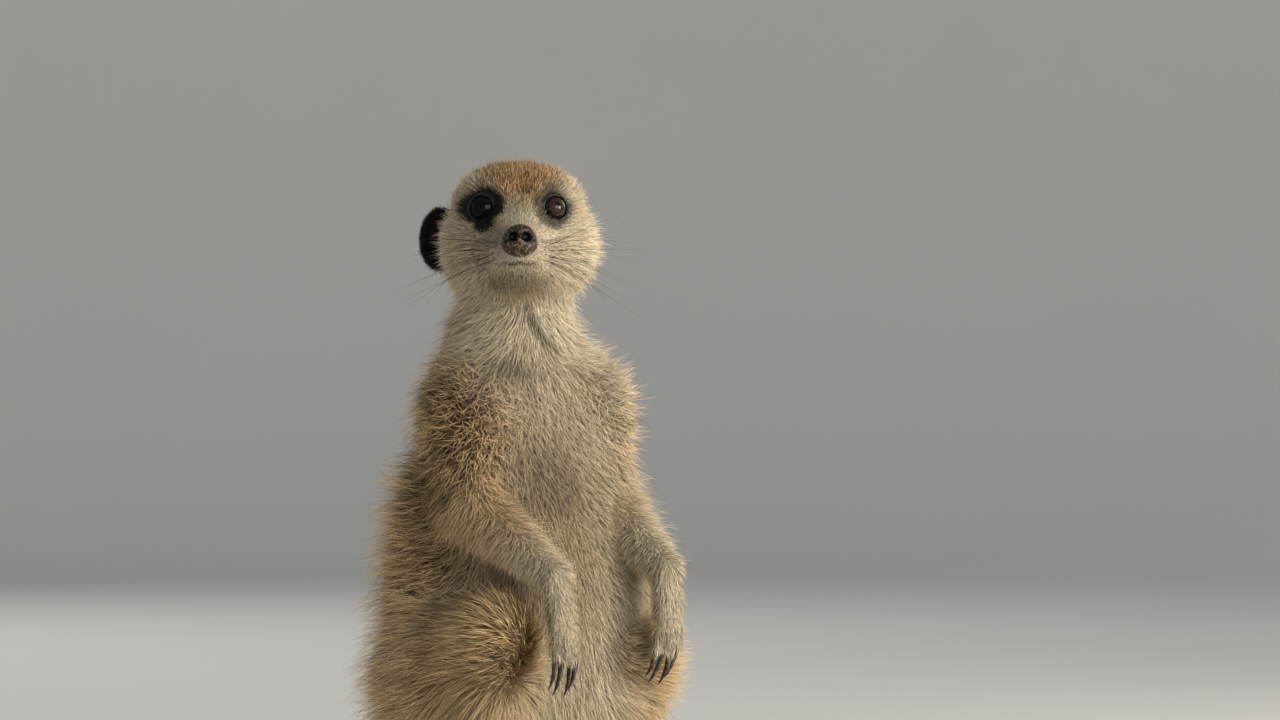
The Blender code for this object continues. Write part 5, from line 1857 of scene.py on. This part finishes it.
@dataclass
class Claws:
    """All sixteen claws, curved, narrow and tapering to blunt points.

    front and hind are their lengths, and each pair of uneven is a front claw's lean and its share of the
    length. A claw starts start_bend degrees down from straight ahead and turns down by whole_bend more.
    """

    animal: Meerkat
    place: Place
    front: float = 1.85
    hind: float = 0.85
    front_width: float = 0.15
    hind_width: float = 0.12
    start_bend: float = 8.0
    whole_bend: float = 54.0
    steps: int = 9
    uneven: tuple[Pair, ...] = ((0.07, 0.93), (-0.05, 1.03), (0.04, 1.06), (-0.08, 0.97))

    def claw(self, bm: BMesh, root: Array, ahead: Array, down: Array, length: float,
             width: float) -> None:
        """Runs one claw out from its root.

        Args:
            bm: The mesh it is added to.
            root: Middle of its root, inside the digit.
            ahead: The way it starts.
            down: The way it bends.
            length: Its length.
            width: Half its height at the root.
        """
        side = unit(np.cross(ahead, down))
        ring = bmesh.ops.create_circle(bm, cap_ends=True, segments=12, radius=1.0)["verts"]
        face = ring[0].link_faces[0]
        for number, t in enumerate(np.linspace(0.0, 1.0, self.steps)):
            bend = radians(self.start_bend + self.whole_bend * t)
            reach = ahead * sin(bend) / radians(60.0) * 0.9 + down * (1.0 - cos(bend)) * 0.75
            along = unit(ahead * cos(bend) + down * sin(bend))
            over = np.cross(side, along)
            radius = width * (1.02 - 0.90 * t ** 1.25)
            if number:
                grown = bmesh.ops.extrude_face_region(bm, geom=[face])["geom"]
                face = next(g for g in grown if isinstance(g, bmesh.types.BMFace))
                ring = list(face.verts)
            for k, v in enumerate(ring):
                a = 2.0 * pi * k / len(ring)
                keel = 1.0 + 0.18 * max(0.0, sin(a))
                v.co = root + reach * length + side * cos(a) * radius * 0.72 + over * sin(a) * radius * keel
        tip = np.mean([v.co for v in ring], axis=0) + along * width * 0.25
        bmesh.ops.pointmerge(bm, verts=ring, merge_co=Vector(tip))

    def build(self) -> Mesh:
        """Every claw in one mesh."""
        bm = bmesh.new()
        for arm in self.animal.arms.values():
            for (start, end), (lean, size) in zip(arm.digits, self.uneven):
                way = unit(end - start)
                ahead = unit(arm.down * 0.5 + way * 0.5 + arm.across * lean)
                self.claw(bm, end - way * 0.30, ahead, -arm.back, self.front * size, self.front_width)
        for leg in self.animal.legs.values():
            for start, end in leg.digits:
                way = unit(end - start)
                ahead = unit(leg.ahead * 0.5 + way * 0.5)
                self.claw(bm, end - way * 0.10, ahead, vec(0, 0, -1.0), self.hind, self.hind_width)
        bmesh.ops.triangulate(bm, faces=bm.faces[:])
        bmesh.ops.recalc_face_normals(bm, faces=bm.faces[:])
        p = coordinates(bm)
        p[:, 2] = np.maximum(p[:, 2], 0.01)
        put(bm, self.place.metres(p))
        return finished(bm, "claws")

    def finish(self) -> Material:
        """Dark horn with a finely rough surface, paler where it is worn."""
        finish = Finish("claw_horn", 0.35, 0.5)
        worn = finish.noise(600.0, 4.0, 0.65)
        colour = finish.mix(worn.eased(0.40, 0.75), (0.022, 0.015, 0.011), (0.14, 0.10, 0.07))
        finish.colour(colour)
        finish.rough(0.28 + 0.25 * worn)
        finish.bump(finish.noise(2500.0, 2.0), 0.25, 0.0002)
        return finish.material

    def dress(self) -> Object:
        """Builds and finishes the claws."""
        piece = linked("claws", self.build())
        piece.data.materials.append(self.finish())
        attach(piece, "root")
        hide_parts(*(f"claw_{limb}_{side}_{n}" for limb in ("hand", "foot")
                             for side in ("left", "right") for n in range(1, 5)))
        log.info("claws: %d faces", len(piece.data.polygons))
        return piece


@dataclass
class Whiskers:
    """Stiff bent hairs on the muzzle, cheeks and brows.

    The single ones are given by root, direction and length on the left side of the head's own frame: two on
    the brow, two on the cheek and one on the chin.
    """

    animal: Meerkat
    place: Place
    thick: float = 0.011
    stations: int = 7
    singles: tuple[tuple[Triple, Triple, float], ...] = (
        ((1.05, -0.60, 0.75), (0.35, -0.2, 1.0), 1.3),
        ((1.25, -0.45, 0.72), (0.6, -0.1, 1.0), 1.1),
        ((1.9, 0.2, -1.6), (1.0, 0.2, -0.5), 1.8),
        ((1.95, 0.3, -1.9), (1.0, 0.3, -0.9), 1.7),
        ((0.5, -1.9, -2.6), (0.3, -0.3, -1.0), 0.9),
    )
    rng: np.random.Generator = field(default_factory=lambda: np.random.default_rng(5))

    def rows(self) -> list[tuple[Array, Array, float]]:
        """Root, direction and length of each whisker."""
        head, out = self.animal.head, []
        for side in Side:
            muzzle, flip = [], vec(side.value, 1, 1)
            for row in range(4):
                for k in range(4):
                    back = 0.25 + 0.35 * self.rng.random()
                    up = 0.34 - 0.22 * row + self.rng.normal(0.0, 0.08)
                    length = 2.2 + 0.45 * k + 0.5 * self.rng.random()
                    muzzle.append((head.follicle(row, k), (1.0, back, up), length))
            for root, way, length in [*muzzle, *self.singles]:
                start = head.point(*(vec(*root) * flip))
                for _ in range(4):
                    start = self.on_skin(start)
                out.append((start, unit(head.turn @ (vec(*way) * flip)), length))
        return out

    def on_skin(self, point: Array) -> Array:
        """The point moved on to the skin."""
        p = point[None, :]
        value = self.animal.distance(p)
        slope = np.stack([self.animal.distance(p + step) - value for step in np.eye(3) * 0.01], 1) / 0.01
        return (p - slope * value[:, None] / (slope ** 2).sum(1)[:, None])[0]

    def build(self) -> Mesh:
        """Every whisker as a three-sided tapering tube."""
        points, triangles = [], []
        t = np.linspace(0.0, 1.0, self.stations)
        for root, way, length in self.rows():
            droop = vec(0, 0, -1.0) * 0.16 * length + self.rng.normal(0.0, 0.05, 3) * length
            line = root + np.outer(t, way) * length + np.outer(t ** 2, droop) - way * 0.08
            side = unit(np.cross(way, vec(0.1, 0.2, 1.0)))
            over = np.cross(side, way)
            base = len(points)
            for place, share in zip(line, t):
                radius = self.thick * (1.0 - 0.86 * share)
                for k in range(3):
                    a = 2.0 * pi * k / 3.0
                    points.append(place + side * cos(a) * radius + over * sin(a) * radius)
            for ring in range(self.stations - 1):
                for k in range(3):
                    a, b = base + ring * 3 + k, base + ring * 3 + (k + 1) % 3
                    triangles += [(a, b, b + 3), (a, b + 3, a + 3)]
            triangles += [(base + 2, base + 1, base), tuple(len(points) - 3 + k for k in range(3))]
        return from_triangles("whiskers", self.place.metres(np.array(points)), np.array(triangles))

    def dress(self) -> Object:
        """Builds and finishes the whiskers."""
        finish = Finish("whisker", 0.4, 0.5)
        pale = finish.noise(300.0).eased(0.4, 0.6)
        finish.colour(finish.mix(pale, (0.02, 0.014, 0.010), (0.07, 0.05, 0.03)))
        piece = linked("whiskers", self.build())
        piece.data.materials.append(finish.material)
        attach(piece, "root")
        log.info("whiskers: %d faces", len(piece.data.polygons))
        return piece


# ---------------- studio
@dataclass
class Studio:
    """A plain pale sweep, soft lights and the camera.

    The sweep's sizes are in metres: the flat floor, the radius of the curve at its edge and the height of
    the wall. The camera stands azimuth degrees round from the front and distance metres away, and across is
    how many metres it sees there. It aims at a point given in the animal's centimetres.
    """

    place: Place
    disc: float = 2.4
    floor: float = 2.8
    curve: float = 1.5
    wall: float = 2.2
    azimuth: float = -28.0
    distance: float = 2.2
    across: float = 0.4621
    aim_side: float = 4.224
    aim_height: float = 17.78

    def axes(self) -> tuple[Array, Array]:
        """The ways to the camera's right and from the animal to the camera."""
        turn = radians(self.azimuth)
        return vec(cos(turn), sin(turn), 0.0), vec(sin(turn), -cos(turn), 0.0)

    def sweep(self) -> None:
        """A round floor that curves up into a wall on every side."""
        bm = bmesh.new()
        bmesh.ops.create_circle(bm, cap_ends=True, segments=96, radius=self.disc)
        edge = bm.edges[:]
        rise = [(self.floor + self.curve * sin(a), self.curve * (1.0 - cos(a)))
                for a in np.linspace(0.0, pi / 2, 17)]
        for out, up in [*rise, (self.floor + self.curve, self.wall)]:
            grown = bmesh.ops.extrude_edge_only(bm, edges=edge)["geom"]
            verts = {g for g in grown if isinstance(g, bmesh.types.BMVert)}
            edge = [g for g in grown if isinstance(g, bmesh.types.BMEdge) and verts.issuperset(g.verts)]
            for v in verts:
                v.co = Vector((v.co.x, v.co.y, 0.0)).normalized() * out + Vector((0.0, 0.0, up))
        bm.normal_update()
        if bm.faces[:][0].normal.z < 0.0:
            bmesh.ops.reverse_faces(bm, faces=bm.faces[:])
        mesh = finished(bm, "sweep")
        finish = Finish("studio_paper", 0.8, 0.2)
        finish.colour(finish.mix(finish.noise(3.0), (0.84, 0.83, 0.81), (0.88, 0.87, 0.85)))
        floor = linked("floor", mesh)
        mesh.materials.append(finish.material)
        floor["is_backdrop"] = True

    def light(self, name: str, side: float, near: float, up: float, size: float, power: float,
              tint: Triple) -> None:
        """One soft square light, placed as the camera sees it.

        Args:
            name: Its name.
            side: Metres to the camera's right of the animal.
            near: Metres towards the camera.
            up: Metres above the floor.
            size: Length of its side.
            power: Watts.
            tint: Colour.
        """
        right, front = self.axes()
        lamp = bpy.data.lights.new(name, "AREA")
        lamp.size, lamp.energy, lamp.color = size, power, tint
        made = bpy.data.objects.new(name, lamp)
        made.location = Vector(right * side + front * near + vec(0, 0, up))
        made.visible_camera = False
        aim = Vector((0.0, 0.0, 0.15)) - made.location
        made.rotation_mode = "QUATERNION"
        made.rotation_quaternion = aim.to_track_quat("-Z", "Y")
        bpy.context.scene.collection.objects.link(made)

    def lights(self) -> None:
        """A low warm key from the camera's right, a broad fill in front, a rim and a back light behind."""
        world = bpy.data.worlds.new("studio")
        bpy.context.scene.world = world
        world.use_nodes = True
        back = world.node_tree.nodes["Background"]
        back.inputs["Color"].default_value = (0.97, 0.98, 1.0, 1.0)
        back.inputs["Strength"].default_value = 0.24
        self.light("key", 2.0, 1.1, 0.60, 0.8, 32.0, (1.0, 0.94, 0.85))
        self.light("rim", 0.75, -0.70, 0.60, 0.5, 1.6, (1.0, 0.94, 0.85))
        self.light("fill", 1.3, 2.0, 0.80, 1.2, 20.0, (1.0, 0.95, 0.88))
        self.light("back", -0.8, -1.8, 1.2, 1.0, 8.0, (1.0, 0.97, 0.93))

    def camera(self) -> None:
        """A level camera at the height of the chest."""
        right, back = self.axes()
        aim = self.place.metres(right * self.aim_side + vec(0, 0, self.aim_height))
        lens = bpy.data.cameras.new("camera")
        lens.sensor_width, lens.lens = 36.0, 36.0 * self.distance / self.across
        lens.clip_start, lens.clip_end = 0.05, 30.0
        made = bpy.data.objects.new("camera", lens)
        made.location = Vector(aim + back * self.distance)
        made.rotation_mode = "QUATERNION"
        made.rotation_quaternion = Vector(-back).to_track_quat("-Z", "Y")
        bpy.context.scene.collection.objects.link(made)
        bpy.context.scene.camera = made
        bpy.context.scene.view_settings.view_transform = "Standard"

    def build(self) -> None:
        """Sets up the studio."""
        self.sweep()
        self.lights()
        self.camera()
        log.info("studio")


def main() -> None:
    """Builds the meerkat and its studio."""
    logging.basicConfig(level=logging.INFO, format="%(message)s")
    animal = Meerkat()
    place = Place.found(animal.head)
    Studio(place).build()
    skin = Skin(animal, place)
    skin.build()
    skin.dress()
    for side in Side:
        Eye(animal, place, side).dress()
    Claws(animal, place).dress()
    Whiskers(animal, place).dress()
    Coat(animal, skin, place).build()
    boxes = {"cad": cad_box, "visual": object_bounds()}
    plain = {name: [[float(c) for c in corner] for corner in box] for name, box in boxes.items()}


if __name__ == "__main__":
    main()
